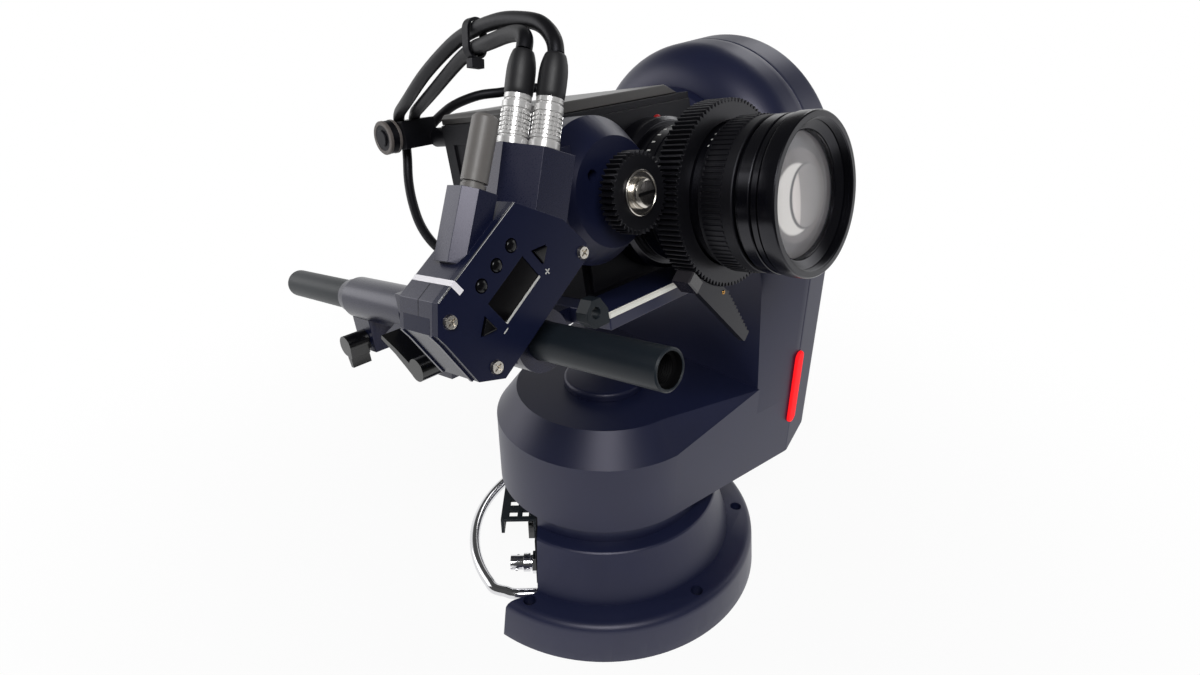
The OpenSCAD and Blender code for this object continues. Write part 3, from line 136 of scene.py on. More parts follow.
DRIVE_WASHER = [(0, 0), (9.0, 0), (9.2, 0.2), (9.2, 0.8), (8.9, 1.05), (8.5, 1.05), (8.2, 0.7), (6.6, 0.5),
                (6.4, 0.5), (6.2, 0.7), (6.1, 2.3), (5.9, 2.9), (5.3, 3.4), (4.4, 3.6), (0, 3.6)]
REAR_CAP = [(0, 0.2), (8.4, 0.2), (8.65, 0.5), (8.65, 1.6), (8.2, 2.0), (8.2, 5.2), (8.6, 5.6), (8.6, 6.8),
            (8.2, 7.2), (6.6, 7.2), (6.3, 6.7), (0, 6.7)]
REAR_CAP_PLUG = [(0, 6.4), (4.2, 6.4), (4.2, 7.6), (3.8, 8.0), (0, 8.0)]

PAINT_TINT = (0.91, 0.88, 1.0)
COOL_TINT = (0.9, 0.9, 1.0)
PLAIN = dict(bump=0.0, depth=0.00003, metallic=0.0, specular=0.5, coat=0.0, coat_rough=0.1, glow=0.0,
             tint=(1, 1, 1))


def surface(base, shade, rough, spread, scale, **more):
    """A finish: base and shade colour, roughness, its spread, grains in a metre, and what isn't plain."""
    return {**PLAIN, "base": base, "shade": shade, "rough": rough, "spread": spread, "scale": scale, **more}


# A colour is a screen colour in 0 to 255, the name of a colour property, or a share of the base colour
FINISHES = {
    "satin paint": surface("paint", "paint_shade", 0.42, 0.08, "grain", bump=0.12, specular=0.65,
        tint=PAINT_TINT),
    "fine satin paint": surface((21, 26, 52), (18, 22, 45), 0.28, 0.06, 2600.0, bump=0.06, depth=0.00002,
        specular=0.55, tint=PAINT_TINT),
    "plate paint": surface((24, 29, 56), (20, 25, 49), 0.24, 0.05, 2600.0, bump=0.04, depth=0.00002,
        specular=0.2, tint=PAINT_TINT),
    "gearbox paint": surface((23, 28, 55), (20, 24, 48), 0.36, 0.07, 2000.0, bump=0.1, specular=0.36,
        tint=PAINT_TINT),
    "black anodising": surface("anodised", 0.75, 0.42, 0.08, 1500.0, bump=0.1, specular=0.24),
    "lens black": surface("lens_black", 0.7, 0.24, 0.04, 2200.0, bump=0.03, depth=0.00002, specular=0.45,
        tint=COOL_TINT),
    "matt black plastic": surface("lens_black", 0.65, 0.5, 0.14, 1800.0, bump=0.15, depth=0.00004,
        specular=0.34, tint=COOL_TINT),
    "gear plastic": surface((19, 19, 23), (14, 14, 17), 0.36, 0.12, 1400.0, bump=0.08, specular=0.45,
        tint=COOL_TINT),
    "gloss black": surface((10, 10, 12), (8, 8, 9), 0.09, 0.03, 600.0, specular=0.6, coat=0.6,
        coat_rough=0.03),
    "cable rubber": surface("cable", 0.65, 0.46, 0.16, 1500.0, bump=0.2, depth=0.00005, specular=0.26,
        tint=COOL_TINT),
    "machined steel": surface((220, 215, 207), (204, 199, 191), 0.24, 0.04, 3000.0, metallic=1.0),
    "bright plating": surface((226, 226, 228), (216, 216, 219), 0.12, 0.03, 2000.0, metallic=1.0),
    "camera top": surface((74, 72, 71), (62, 60, 60), 0.34, 0.1, 1500.0, bump=0.1),
    "stub rubber": surface((122, 119, 116), (108, 105, 103), 0.42, 0.08, 1300.0, bump=0.15,
        depth=0.00004),
    "boot rubber": surface((33, 33, 36), (26, 26, 29), 0.5, 0.1, 1300.0, bump=0.2, depth=0.00005),
    "lever black": surface((13, 13, 15), (11, 11, 13), 0.2, 0.04, 1500.0, specular=0.65),
    "display glass": surface((9, 8, 11), (7, 6, 8), 0.1, 0.03, 400.0, specular=0.22),
    "button black": surface((9, 9, 13), (7, 7, 10), 0.2, 0.04, 700.0, specular=0.28),
    # Near black: the own colour of dark seams, and painted shade in bores, screw recesses and a screw slot
    "bore black": surface((5, 5, 6), (3, 3, 4), 0.7, 0.1, 1500.0, bump=0.1, specular=0.12),
    "knurled steel": surface((228, 227, 226), (214, 213, 212), 0.24, 0.06, 2600.0, metallic=0.3,
        specular=0.9),
    "cap grey": surface((120, 113, 110), (104, 98, 95), 0.42, 0.1, 1200.0, bump=0.1, depth=0.00004),
    "white mark": surface((225, 225, 222), (205, 205, 200), 0.5, 0.1, 1500.0),
    "lit lamp": surface("lamp", (246, 30, 36), 0.5, 0.05, 300.0, specular=0.1, glow=0.75),
    # A pale plank whose glow is painted light
    "satin plank": surface((236, 234, 226), (226, 224, 216), 0.4, 0.05, 2000.0, glow=0.25),
    "red index": surface((190, 20, 24), (150, 12, 16), 0.3, 0.1, 900.0),
    "clear buckle": surface((58, 56, 60), (46, 44, 48), 0.14, 0.1, 500.0, coat=0.5, coat_rough=0.05),
    "brass pin": surface((196, 150, 84), (170, 126, 66), 0.25, 0.05, 900.0, metallic=1.0),
    # A pale strip whose glow is painted light
    "light strip": surface((232, 230, 234), (220, 218, 224), 0.35, 0.05, 900.0, glow=0.3),
}

# Lamps: name, place, target and side in metres, and the property that holds the power
LAMPS = (
    ("key soft box", (-0.62, -0.64, 0.98), (0.0, 0.0, 0.2), 0.5, "key"),
    ("back soft box", (-0.73, 1.10, 0.66), (-0.16, -0.09, 0.25), 0.9, "back"),
    ("right fill", (1.1, -0.75, 0.7), (0.05, 0.0, 0.2), 0.6, "fill"),
    ("rim light", (1.05, 0.25, 0.97), (0.09, 0.0, 0.3), 0.4, "rim"),
)

# Painted reflections behind the front glass, as crescents: side, up, radius and soft edge in millimetres,
# # and a screen colour; the innermost disc has the ramp instead
PAINTED_REFLECTION_DISCS = ((0.0, 0.0, 25.2, 0.4, (80, 76, 76)), (-1.0, 0.0, 18.6, 0.5, (108, 102, 99)),
             (-4.2, -0.8, 13.9, 0.5, (226, 221, 214)), (3.0, -0.8, 13.0, 0.4, (70, 66, 66)),
             (4.0, -0.8, 12.4, 0.4, None))
# Painted reflections: the dark rim round the discs, their depth along the lens and the squeeze of the discs
PAINTED_REFLECTION_RIM, PAINTED_REFLECTION_DEPTH, PAINTED_REFLECTION_SQUEEZE = (30, 29, 32), 114.0, (1.0, 1.0, 0.96)
# The painted reflection's ramp across the innermost disc: place from left to right and grey level
PAINTED_REFLECTION_RAMP = ((0.0, 176), (0.12, 224), (0.26, 210), (0.3, 146), (0.6, 124), (1.0, 96))


def srgb(r, g, b):
    """Linear colour of a screen colour given in 0 to 255."""
    c = np.array([r, g, b]) / 255.0
    return tuple(float(x) for x in np.where(c <= 0.04045, c / 12.92, ((c + 0.055) / 1.055) ** 2.4))


def colour(name, description, *screen):
    """A colour that a user may change, with its default in 0 to 255."""
    return FloatVectorProperty(name=name, description=description, subtype="COLOR", size=3, min=0, max=1,
                               default=srgb(*screen))


def power(name, description, default):
    """The power of a lamp that a user may change."""
    return FloatProperty(name=name, description=description, unit="POWER", min=0, max=60, default=default)


class HeadColours(bpy.types.PropertyGroup):
    """Colours of the head's finishes."""

    paint: colour("Paint", "Satin paint of the castings", 27, 33, 64)
    paint_shade: colour("Paint shade", "Darker patches in the paint", 23, 28, 55)
    anodised: colour("Anodised", "Black anodised rod and levers", 34, 41, 48)
    lens_black: colour("Lens black", "Black of the lens and the camera", 11, 11, 16)
    cable: colour("Cable", "Jacket of the cables", 18, 18, 21)
    lamp: colour("Lamp", "Lit tally light", 250, 22, 30)


class HeadSizes(bpy.types.PropertyGroup):
    """Sizes of the fine detail, in metres."""

    cable_r: FloatProperty(name="Cable radius", description="Radius of the two drive cables", unit="LENGTH",
                           min=0.001, max=0.004, default=0.0029)
    lead_r: FloatProperty(name="Lead radius", description="Radius of the two thin cables", unit="LENGTH",
                          min=0.001, max=0.003, default=0.0025)
    edge: FloatProperty(name="Edge", description="Width of the bright edge round a casting", unit="LENGTH",
                        min=0.0001, max=0.002, default=0.0007)
    grain: FloatProperty(name="Grain", description="Grains of the paint in each metre", min=100, max=6000,
                         default=1700)


class HeadStage(bpy.types.PropertyGroup):
    """Camera and light."""

    place: FloatVectorProperty(name="Camera place", description="Where the camera stands", unit="LENGTH",
                               size=3, default=(-0.2693, -0.2537, 0.3482))
    turn: FloatVectorProperty(name="Camera turn", description="How the camera is turned", subtype="EULER",
                              size=3, default=(math.radians(62.30), 0.0, math.radians(-46.35)))
    focal: FloatProperty(name="Focal length", description="In millimetres on a sensor 36 mm wide", min=10,
                         max=80, default=21.49)
    key: power("Key light", "Power of the large soft light", 7.5)
    back: power("Back light", "Power of the low soft light behind", 4.0)
    fill: power("Fill light", "Power of the weaker light", 1.2)
    rim: power("Rim light", "Power of the light behind the arm", 1.3)
    sky: FloatProperty(name="Sky", description="Light from all round", min=0, max=1, default=0.08)


def colours():
    """The scene's colours of the head."""
    return bpy.context.scene.head_colours


def sizes():
    """The scene's sizes of the head."""
    return bpy.context.scene.head_sizes


# Shapes


def payload(points):
    """Points in the tilting frame (side, up, forward, in millimetres) put into the row frame in metres."""
    p = np.asarray(points, float) * MM
    c, s = math.cos(REST_TILT), math.sin(REST_TILT)
    return np.stack([p[..., 0], -c * p[..., 2] + s * p[..., 1],
                     TILT_Z * MM + s * p[..., 2] + c * p[..., 1]], -1)


def based(points):
    """Points of the base, in millimetres, turned about the pan axis and put into metres."""
    p = np.asarray(points, float) * MM
    return np.concatenate([swung(p[..., :2], BASE_TURN), p[..., 2:]], -1)


def swung(points, angle):
    """Points of a plane turned about its origin."""
    c, s = math.cos(angle), math.sin(angle)
    return np.stack([c * points[..., 0] - s * points[..., 1], s * points[..., 0] + c * points[..., 1]], -1)


def flat(outline, forward):
    """A plane outline set at one distance along the third axis."""
    return np.concatenate([outline, np.full((*outline.shape[:-1], 1), float(forward))], -1)


def on_unit(a, b, forward):
    """Points of the motor unit's face, a along it and b up it, in the tilting frame."""
    return flat(swung(np.stack([a, b], -1).astype(float), UNIT_TURN) + UNIT_AT, forward)


def spline(points, per=6):
    """Smooth curve through points: on each span the cubic whose ends run along the neighbours' chords."""
    p = np.asarray(points, float)
    q = np.vstack([2 * p[0] - p[1], p, 2 * p[-1] - p[-2]])
    t = np.linspace(0, 1, per, endpoint=False)[:, None, None]
    a, b, c, d = q[:-3], q[1:-2], q[2:-1], q[3:]
    square, cube = 2 * a - 5 * b + 4 * c - d, 3 * b - a - 3 * c + d
    curve = 0.5 * (2 * b + (c - a) * t + square * t ** 2 + cube * t ** 3)
    return np.vstack([curve.transpose(1, 0, 2).reshape(-1, 3), p[-1]])


def eased(path, rounds):
    """The path with each inner point drawn towards the middle of its neighbours, several times over."""
    path = path.copy()
    for _ in range(rounds):
        path[1:-1] = (path[:-2] + 2 * path[1:-1] + path[2:]) / 4
    return path


def unit(v):
    """Vectors brought to length one."""
    return v / np.linalg.norm(v, axis=-1, keepdims=True)


def carried(path, radius, sides, across):
    """A circle carried along a path: each ring stands square to the path."""
    path = np.asarray(path, float)
    along = unit(np.gradient(path, axis=0))
    side = unit(np.cross(along, np.asarray(across, float)))
    up = np.cross(along, side)
    a = np.linspace(0, 2 * math.pi, sides, endpoint=False)[None, :, None]
    return path[:, None, :] + radius * (side[:, None, :] * np.cos(a) + up[:, None, :] * np.sin(a))


def turned(profile, at, axis, first, segments, wave=None):
    """A profile of radius and height turned about an axis; wave(angle, radius, height) adds to the radius."""
    prof = np.asarray(profile, float)
    axis, first = unit(np.asarray(axis, float)), unit(np.asarray(first, float))
    second = np.cross(axis, first)
    a = np.linspace(0, 2 * math.pi, segments, endpoint=False)
    r = np.repeat(prof[:, :1], segments, 1)
    if wave is not None:
        r = r + wave(a[None, :], prof[:, :1], prof[:, 1:2])
    return (np.asarray(at, float) + axis * prof[:, 1, None, None]
            + r[:, :, None] * (first * np.cos(a)[None, :, None] + second * np.sin(a)[None, :, None]))


def threaded(root, crest, start, end, step):
    """Profile of a thread: its root and its crest by turns, at even heights."""
    return [((root, crest)[k % 2], height) for k, height in enumerate(np.arange(start, end, step))]


def stadium(width, length, count=64):
    """Outline of a bar with round ends: two half circles on the ends of a straight line."""
    a = np.linspace(-QUARTER, 3 * QUARTER, count, endpoint=False)
    half = (length - width) / 2
    shift = np.where(a < QUARTER, half, -half)
    return np.stack([np.cos(a) * width / 2 + shift, np.sin(a) * width / 2], -1)


def skin(name, grids, sharp=32.0, wrap=True, caps=True):
    """One mesh from grids of points: quads between neighbouring rows and a flat face on each open end."""
    points, faces, start = [], [], 0
    for grid in grids:
        rows, cols = grid.shape[:2]
        r = np.arange(rows - 1)[:, None] * cols
        c = np.arange(cols if wrap else cols - 1)[None, :]
        n = (c + 1) % cols
        quads = np.stack([r + c, r + n, r + cols + n, r + cols + c], -1).reshape(-1, 4) + start
        faces += quads.tolist()
        if caps:
            faces.append((start + np.arange(cols)[::-1]).tolist())
            faces.append((start + (rows - 1) * cols + np.arange(cols)).tolist())
        points.append(grid.reshape(-1, 3))
        start += rows * cols
    mesh = bpy.data.meshes.new(name)
    mesh.from_pydata(np.concatenate(points).tolist(), [], faces)
    bm = bmesh.new()
    bm.from_mesh(mesh)
    bmesh.ops.remove_doubles(bm, verts=bm.verts, dist=1e-7)
    bmesh.ops.recalc_face_normals(bm, faces=bm.faces)
    bm.to_mesh(mesh)
    bm.free()
    return placed(name, mesh, sharp)


def placed(name, mesh, sharp):
    """An object of a mesh, smooth between the edges that are sharper than an angle in degrees."""
    mesh.polygons.foreach_set("use_smooth", np.ones(len(mesh.polygons), bool))
    mesh.set_sharp_from_angle(angle=math.radians(sharp))
    piece = bpy.data.objects.new(name, mesh)
    bpy.context.scene.collection.objects.link(piece)
    return piece


def edged(node, width, sharp):
    """A copy of a solid with its triangles merged into whole faces and its edges rounded."""
    bm = bmesh.new()
    bm.from_mesh(NODES[node].data)
    bmesh.ops.remove_doubles(bm, verts=bm.verts, dist=3e-6)
    bmesh.ops.dissolve_limit(bm, angle_limit=math.radians(0.4), verts=bm.verts, edges=bm.edges)
    mesh = bpy.data.meshes.new(node + "_skin")
    bm.to_mesh(mesh)
    bm.free()
    piece = placed(node + "_skin", mesh, sharp)
    bevel = piece.modifiers.new("edges", "BEVEL")
    bevel.width = width
    bevel.segments = 3
    bevel.limit_method = "ANGLE"
    bevel.angle_limit = math.radians(sharp)
    bevel.use_clamp_overlap = True
    bevel.harden_normals = True
    return piece


def coated(mesh, look):
    """Leaves one material on a mesh: a finish by its name, or a material."""
    mesh.materials.clear()
    mesh.materials.append(finish(look) if isinstance(look, str) else look)


def put(piece, body, look, *nodes):
    """Gives a piece its finish, lets it ride on a body and hides the solids that it stands for."""
    coated(piece.data, look)
    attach(piece, body)
    if nodes:
        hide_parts(*nodes)
    return piece


def dress(node, look, width=0.0, sharp=28.0):
    """Rounds a solid's edges in a copy of it, or coats the solid itself where it stays out of sight."""
    coated(NODES[node].data, look)
    if width > 0:
        put(edged(node, width, sharp), NODES[node]["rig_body"], look, node)


def dress_all(rows):
    """Dresses solids: node, finish, width of the rounded edge in millimetres and perhaps its sharp angle."""
    for node, look, edge, *sharp in rows:
        dress(node, look, edge * MM, *sharp)


def lathe(name, profile, look, *nodes, body="tilt", at=(0, 0, 0), axis=(0, 0, 1), first=(1, 0, 0),
          segments=72, sharp=30.0, wave=None, caps=False):
    """A piece turned from a profile about an axis of the tilting frame."""
    grid = payload(turned(profile, at, axis, first, segments, wave))
    return put(skin(name, [grid], sharp=sharp, caps=caps), body, look, *nodes)


# Finishes


def fill(node, values):
    """Sets constants on a node's sockets."""
    for socket, value in values.items():
        node.inputs[socket].default_value = value
    return node


def made(tree, kind, values=None, **settings):
    """A new shader node with its settings and the constants on its sockets."""
    node = tree.nodes.new("ShaderNode" + kind)
    for name, value in settings.items():
        setattr(node, name, value)
    return fill(node, values or {})


def wire(tree, *rows):
    """Links nodes: from a node and its output to a node and its input."""
    for source, output, target, socket in rows:
        tree.links.new(source.outputs[output], target.inputs[socket])


def new_material(name):
    """A new material with its node tree and its Principled shader."""
    material = bpy.data.materials.new(name)
    material.use_nodes = True
    return material, material.node_tree, material.node_tree.nodes["Principled BSDF"]


def grain_group():
    """Shared grain: two sizes of noise that shift the colour, the roughness and the height of a surface."""
    group = bpy.data.node_groups.get("surface grain")
    if group:
        return group
    group = bpy.data.node_groups.new("surface grain", "ShaderNodeTree")
    for name, kind in (("Base", "Color"), ("Shade", "Color"), ("Scale", "Float"), ("Rough", "Float"),
                       ("Spread", "Float")):
        group.interface.new_socket(name, in_out="INPUT", socket_type="NodeSocket" + kind)
    for name, kind in (("Color", "Color"), ("Roughness", "Float"), ("Height", "Float")):
        group.interface.new_socket(name, in_out="OUTPUT", socket_type="NodeSocket" + kind)
    into, out = group.nodes.new("NodeGroupInput"), group.nodes.new("NodeGroupOutput")
    coord = made(group, "TexCoord")
    fine = made(group, "TexNoise", {"Detail": 3.0})
    broad = made(group, "TexNoise", {"Scale": 38.0, "Detail": 4.0})
    middle = made(group, "Math", {1: 0.5}, operation="SUBTRACT")
    blend = made(group, "Math", {1: 0.6}, operation="MULTIPLY_ADD")
    rough = made(group, "Math", operation="MULTIPLY_ADD")
    mix = made(group, "Mix", data_type="RGBA")
    wire(group, (coord, "Object", fine, "Vector"), (coord, "Object", broad, "Vector"),
         (into, "Scale", fine, "Scale"), (fine, "Fac", middle, 0), (middle, 0, blend, 0),
         (broad, "Fac", blend, 2), (blend, 0, mix, "Factor"), (into, "Base", mix, "A"),
         (into, "Shade", mix, "B"), (middle, 0, rough, 0), (into, "Spread", rough, 1),
         (into, "Rough", rough, 2), (mix, "Result", out, "Color"), (rough, 0, out, "Roughness"),
         (fine, "Fac", out, "Height"))
    return group


def linear(value, base=None):
    """Linear colour of a property's name, of a share of the base colour, or of a screen colour."""
    if isinstance(value, str):
        return tuple(getattr(colours(), value))
    if isinstance(value, float):
        return tuple(value * x for x in base)
    return srgb(*value)


def finish(name):
    """A grained finish: the shared grain feeds colour, roughness and bump of one Principled shader."""
    found = bpy.data.materials.get(name)
    if found:
        return found
    look = FINISHES[name]
    base = linear(look["base"])
    shade = linear(look["shade"], base)
    scale = getattr(sizes(), look["scale"]) if isinstance(look["scale"], str) else look["scale"]
    material, tree, shader = new_material(name)
    grain = made(tree, "Group", node_tree=grain_group())
    fill(grain, {"Base": (*base, 1), "Shade": (*shade, 1), "Scale": scale, "Rough": look["rough"],
                 "Spread": look["spread"]})
    fill(shader, {"Metallic": look["metallic"], "Specular IOR Level": look["specular"],
                  "Specular Tint": (*look["tint"], 1), "Coat Weight": look["coat"],
                  "Coat Roughness": look["coat_rough"]})
    wire(tree, (grain, "Color", shader, "Base Color"), (grain, "Roughness", shader, "Roughness"))
    if look["bump"] > 0:
        lift = made(tree, "Bump", {"Strength": look["bump"], "Distance": look["depth"]})
        wire(tree, (grain, "Height", lift, "Height"), (lift, "Normal", shader, "Normal"))
    # Glow: the tally lamp's own light, and painted glow on the pale strip and the shelf's pale plank
    if look["glow"] > 0:
        wire(tree, (grain, "Color", shader, "Emission Color"))
        fill(shader, {"Emission Strength": look["glow"]})
    material.diffuse_color = (*base, 1)
    return material


# Pieces


class HEAD_OT_stage(bpy.types.Operator):
    """Sets the camera, the pale floor, the soft lights and the white surroundings."""

    bl_idname = "head.stage"
    bl_label = "Camera, floor and light"

    def execute(self, context):
        scene, stage = context.scene, context.scene.head_stage
        scene.view_settings.view_transform = "Standard"
        lens = bpy.data.cameras.new("view")
        lens.lens, lens.sensor_width, lens.clip_start = stage.focal, 36.0, 0.01
        camera = bpy.data.objects.new("view", lens)
        camera.location, camera.rotation_euler = stage.place, stage.turn
        scene.collection.objects.link(camera)
        scene.camera = camera
        for name, place, target, side, source in LAMPS:
            self.lamp(name, np.array(place), np.array(target), side, getattr(stage, source))
        self.floor(stage.turn[2])
        self.sky(scene, stage.sky, stage.turn[2])
        return {"FINISHED"}

    def lamp(self, name, place, target, size, energy):
        """A square soft light that looks at a point."""
        data = bpy.data.lights.new(name, "AREA")
        data.size, data.energy = size, energy
        lamp = bpy.data.objects.new(name, data)
        bpy.context.scene.collection.objects.link(lamp)
        away = unit(place - target)
        side = unit(np.cross((0, 0, 1), away))
        turn = np.eye(4)
        turn[:3, :] = np.stack([side, np.cross(away, side), away, place], -1)
        lamp.matrix_world = Matrix(turn.tolist())

    def floor(self, turn):
        """A wide flat sheet that begins under the camera and shades off to white away from the head."""
        reach, near, drop = 12.0, -0.42, -0.0004
        u, v = np.meshgrid(np.linspace(-reach, reach, 9), np.linspace(near, reach, 9), indexing="ij")
        floor = skin("floor", [flat(swung(np.stack([u, v], -1), turn), drop)], wrap=False, caps=False)
        material, tree, shader = new_material("pale floor")
        fill(shader, {"Base Color": (0.86, 0.86, 0.87, 1), "Roughness": 0.8, "Specular IOR Level": 0.1})
        glow, path, mix = made(tree, "Emission"), made(tree, "LightPath"), made(tree, "MixShader")
        coord = made(tree, "TexCoord")
        far = made(tree, "VectorMath", operation="LENGTH")
        fade = made(tree, "MapRange", {"From Min": 0.1, "From Max": 0.55, "To Min": 0.94, "To Max": 1.0},
                    interpolation_type="SMOOTHSTEP")
        seen = made(tree, "Math", operation="MAXIMUM")
        share = made(tree, "Math", operation="MULTIPLY")
        wire(tree, (coord, "Object", far, 0), (far, "Value", fade, "Value"), (path, "Is Camera Ray", seen, 0),
             (path, "Is Glossy Ray", seen, 1), (seen, 0, share, 0), (fade, "Result", share, 1),
             (share, 0, mix, "Fac"), (shader, 0, mix, 1), (glow, 0, mix, 2),
             (mix, 0, tree.nodes["Material Output"], "Surface"))
        floor.data.materials.append(material)

    def sky(self, scene, strength, turn):
        """White where the camera and glass look and low behind the head, and a soft light elsewhere."""
        world = bpy.data.worlds.new("studio")
        scene.world = world
        world.use_nodes = True
        tree, white = world.node_tree, (1, 1, 1, 1)
        soft = fill(tree.nodes["Background"], {"Color": white, "Strength": strength})
        shown = made(tree, "Background", {"Color": white})
        path, coord, split = made(tree, "LightPath"), made(tree, "TexCoord"), made(tree, "SeparateXYZ")
        mix = made(tree, "MixShader")
        ahead = made(tree, "VectorMath", {1: (-math.sin(turn), math.cos(turn), 0)}, operation="DOT_PRODUCT")
        low, behind = (made(tree, "MapRange", {"From Min": start, "From Max": end},
                            interpolation_type="SMOOTHSTEP") for start, end in ((0.55, 0.3), (-0.1, 0.3)))
        patch, mirrored = made(tree, "Math", operation="MULTIPLY"), made(tree, "Math", operation="MULTIPLY")
        seen, clear = made(tree, "Math", operation="MAXIMUM"), made(tree, "Math", operation="MAXIMUM")
        wire(tree, (coord, "Generated", split, 0), (coord, "Generated", ahead, 0), (split, "Z", low, "Value"),
             (ahead, "Value", behind, "Value"), (low, "Result", patch, 0), (behind, "Result", patch, 1),
             (path, "Is Glossy Ray", mirrored, 0), (patch, 0, mirrored, 1), (path, "Is Camera Ray", seen, 0),
             (mirrored, 0, seen, 1), (path, "Is Transmission Ray", clear, 0), (seen, 0, clear, 1),
             (clear, 0, mix, "Fac"), (soft, 0, mix, 1), (shown, 0, mix, 2),
             (mix, 0, tree.nodes["World Output"], "Surface"))


class HEAD_OT_cords(bpy.types.Operator):
    """Makes the two drive cables and the two thin leads along their routes."""

    bl_idname = "head.cords"
    bl_label = "Cables"

    def execute(self, context):
        tip = (PLUG_LEN + BOOT_LEN) * PLUG_AXIS
        right = eased(spline([PLUG_SEATS[1] + tip] + ROUTE_RIGHT), 12)
        left = eased(spline([PLUG_SEATS[0] + tip] + ROUTE_LEFT), 12)
        thick, thin = sizes().cable_r, sizes().lead_r
        for name, path, r, across, node in (
                ("drive_cable_right", right, thick, (1, 0, 0), "drive_cables"),
                ("drive_cable_left", left, thick, (1, 0, 0), "drive_cables"),
                ("thin_lead_top", spline(ROUTE_TOP), thin, (0.3, 0.9, 0.3), "thin_leads"),
                ("thin_lead_side", spline(ROUTE_SIDE), thin, (1, 0.1, 0), "thin_leads")):
            piece = skin(name, [payload(carried(path, r / MM, 16, across))], sharp=50)
            put(piece, "tilt", "cable rubber", node)
        for node in ("drive_cables", "thin_leads"):
            dress(node, "cable rubber")
        return {"FINISHED"}


class HEAD_OT_plugs(bpy.types.Operator):
    """Turns the two knurled plugs and their moulded boots."""

    bl_idname = "head.plugs"
    bl_label = "Plugs and boots"

    def execute(self, context):
        ribs = [(r, z + h) for z in np.arange(4.6, 11.9, 1.5) for r, h in PLUG_RIB]
        shell = PLUG_FOOT + ribs + PLUG_TOP
        shells = [payload(turned(shell, seat, PLUG_AXIS, (0, 0, 1), 264, self.knurl)) for seat in PLUG_SEATS]
        tops = PLUG_SEATS + PLUG_LEN * PLUG_AXIS
        boots = [payload(turned(BOOT, top, PLUG_AXIS, (0, 0, 1), 48)) for top in tops]
        put(skin("plug_shells_skin", shells, sharp=20, caps=False), "tilt", "knurled steel", "plug_shells")
        put(skin("plug_boots_skin", boots, sharp=40, caps=False), "tilt", "boot rubber", "plug_boots")
        dress("plug_shells", "knurled steel")
        dress("plug_boots", "boot rubber")
        return {"FINISHED"}

    def knurl(self, angle, r, h):
        """Even notches cut round the ribs, where the sine of a multiple of the angle is high."""
        start, end, rib, depth, count, share = 4.5, 12.1, 5.0, 0.6, 22, 0.4
        return -depth * ((h > start) & (h < end) & (r > rib)) * (np.sin(count * angle) > share)


class HEAD_OT_base(bpy.types.Operator):
    """Dresses the bolted base, its connector pocket and the bright guard loop."""

    bl_idname = "head.base"
    bl_label = "Base and connectors"

    def execute(self, context):
        dress("base_casting", "satin paint", sizes().edge)
        dress_all((("floor_plate", "matt black plastic", 0), ("floor_screws", "machined steel", 0),
                   ("connector_panel", "matt black plastic", 0.3), ("video_sockets", "bright plating", 0.2),
                   ("data_sockets", "gloss black", 0.3), ("cable_bracket", "black anodising", 0.3),
                   ("pan_bearing", "machined steel", 0), ("pan_motor", "black anodising", 0),
                   ("pan_pinion", "machined steel", 0)))
        self.loop()
        dress("guard_loop", "bright plating")
        return {"FINISHED"}

    def loop(self):
        """A wire carried out from the wall, round an arc about the pan axis and back to the wall."""
        radius, half, wall, z, wire_r = 86.0, 57.5, 40.0, 10.0, 3.3
        turn = math.asin(half / radius)
        reach = radius * math.cos(turn)
        end = turn - math.radians(4)
        a = np.linspace(-end, end, 17)
        sweep = flat(radius * np.stack([np.sin(a), np.cos(a)], -1), z)
        legs = np.array([[-half, wall, z], [-half, reach - 9, z], [2 - half, reach - 3, z]])
        path = spline(np.vstack([legs, sweep, (legs * [-1, 1, 1])[::-1]]), 4)
        loop = skin("guard_loop_skin", [based(carried(path, wire_r, 24, (0, 0, 1)))], sharp=50)
        put(loop, "base", "bright plating", "guard_loop")


def arm_ring(x, inset, foot_inset, low):
    """The arm's outline at one place along X: a round top, straight sides to a waist and a wider foot."""
    r = ARM_TOP_R - ARM_DRAFT * (ARM_OUT - x) / (ARM_OUT - ARM_IN) - inset
    inner = min(x, ARM_SEAM)
    foot = FOOT_MIDDLE + inner * math.tan(PAN_FLARE) - foot_inset
    side = ARM_WAIST + (FOOT_WIDE - ARM_WAIST) * (inner - ARM_IN) / (ARM_SEAM - ARM_IN) - foot_inset
    middle = TILT_Z - ARM_SINK
    drop = middle - ARM_WAIST_Z
    lean = math.acos(min(1.0, r / math.hypot(side, drop))) - math.atan2(drop, side)
    a = np.linspace(QUARTER, lean, 40)
    arc = np.stack([r * np.cos(a), middle + r * np.sin(a)], -1)
    corners = [arc[-1], (side, ARM_WAIST_Z), (foot, PAN_SIDE_TOP), (foot, low), (0, low)]
    legs = [np.linspace(p, q, count + 1)[1:] for p, q, count in zip(corners, corners[1:], (8, 10, 6, 6))]
    half = np.concatenate([arc, *legs])
    whole = np.concatenate([half, (half * [-1, 1])[::-1][1:-1]])
    return np.concatenate([np.full((len(whole), 1), x), whole], 1) * MM


def cover_low(x):
    """Height of the cover's lower edge, which rises outwards from its chamfer."""
    start, rise = 92.0, 0.9
    return PAN_LOW + rise * max(0.0, x - start)


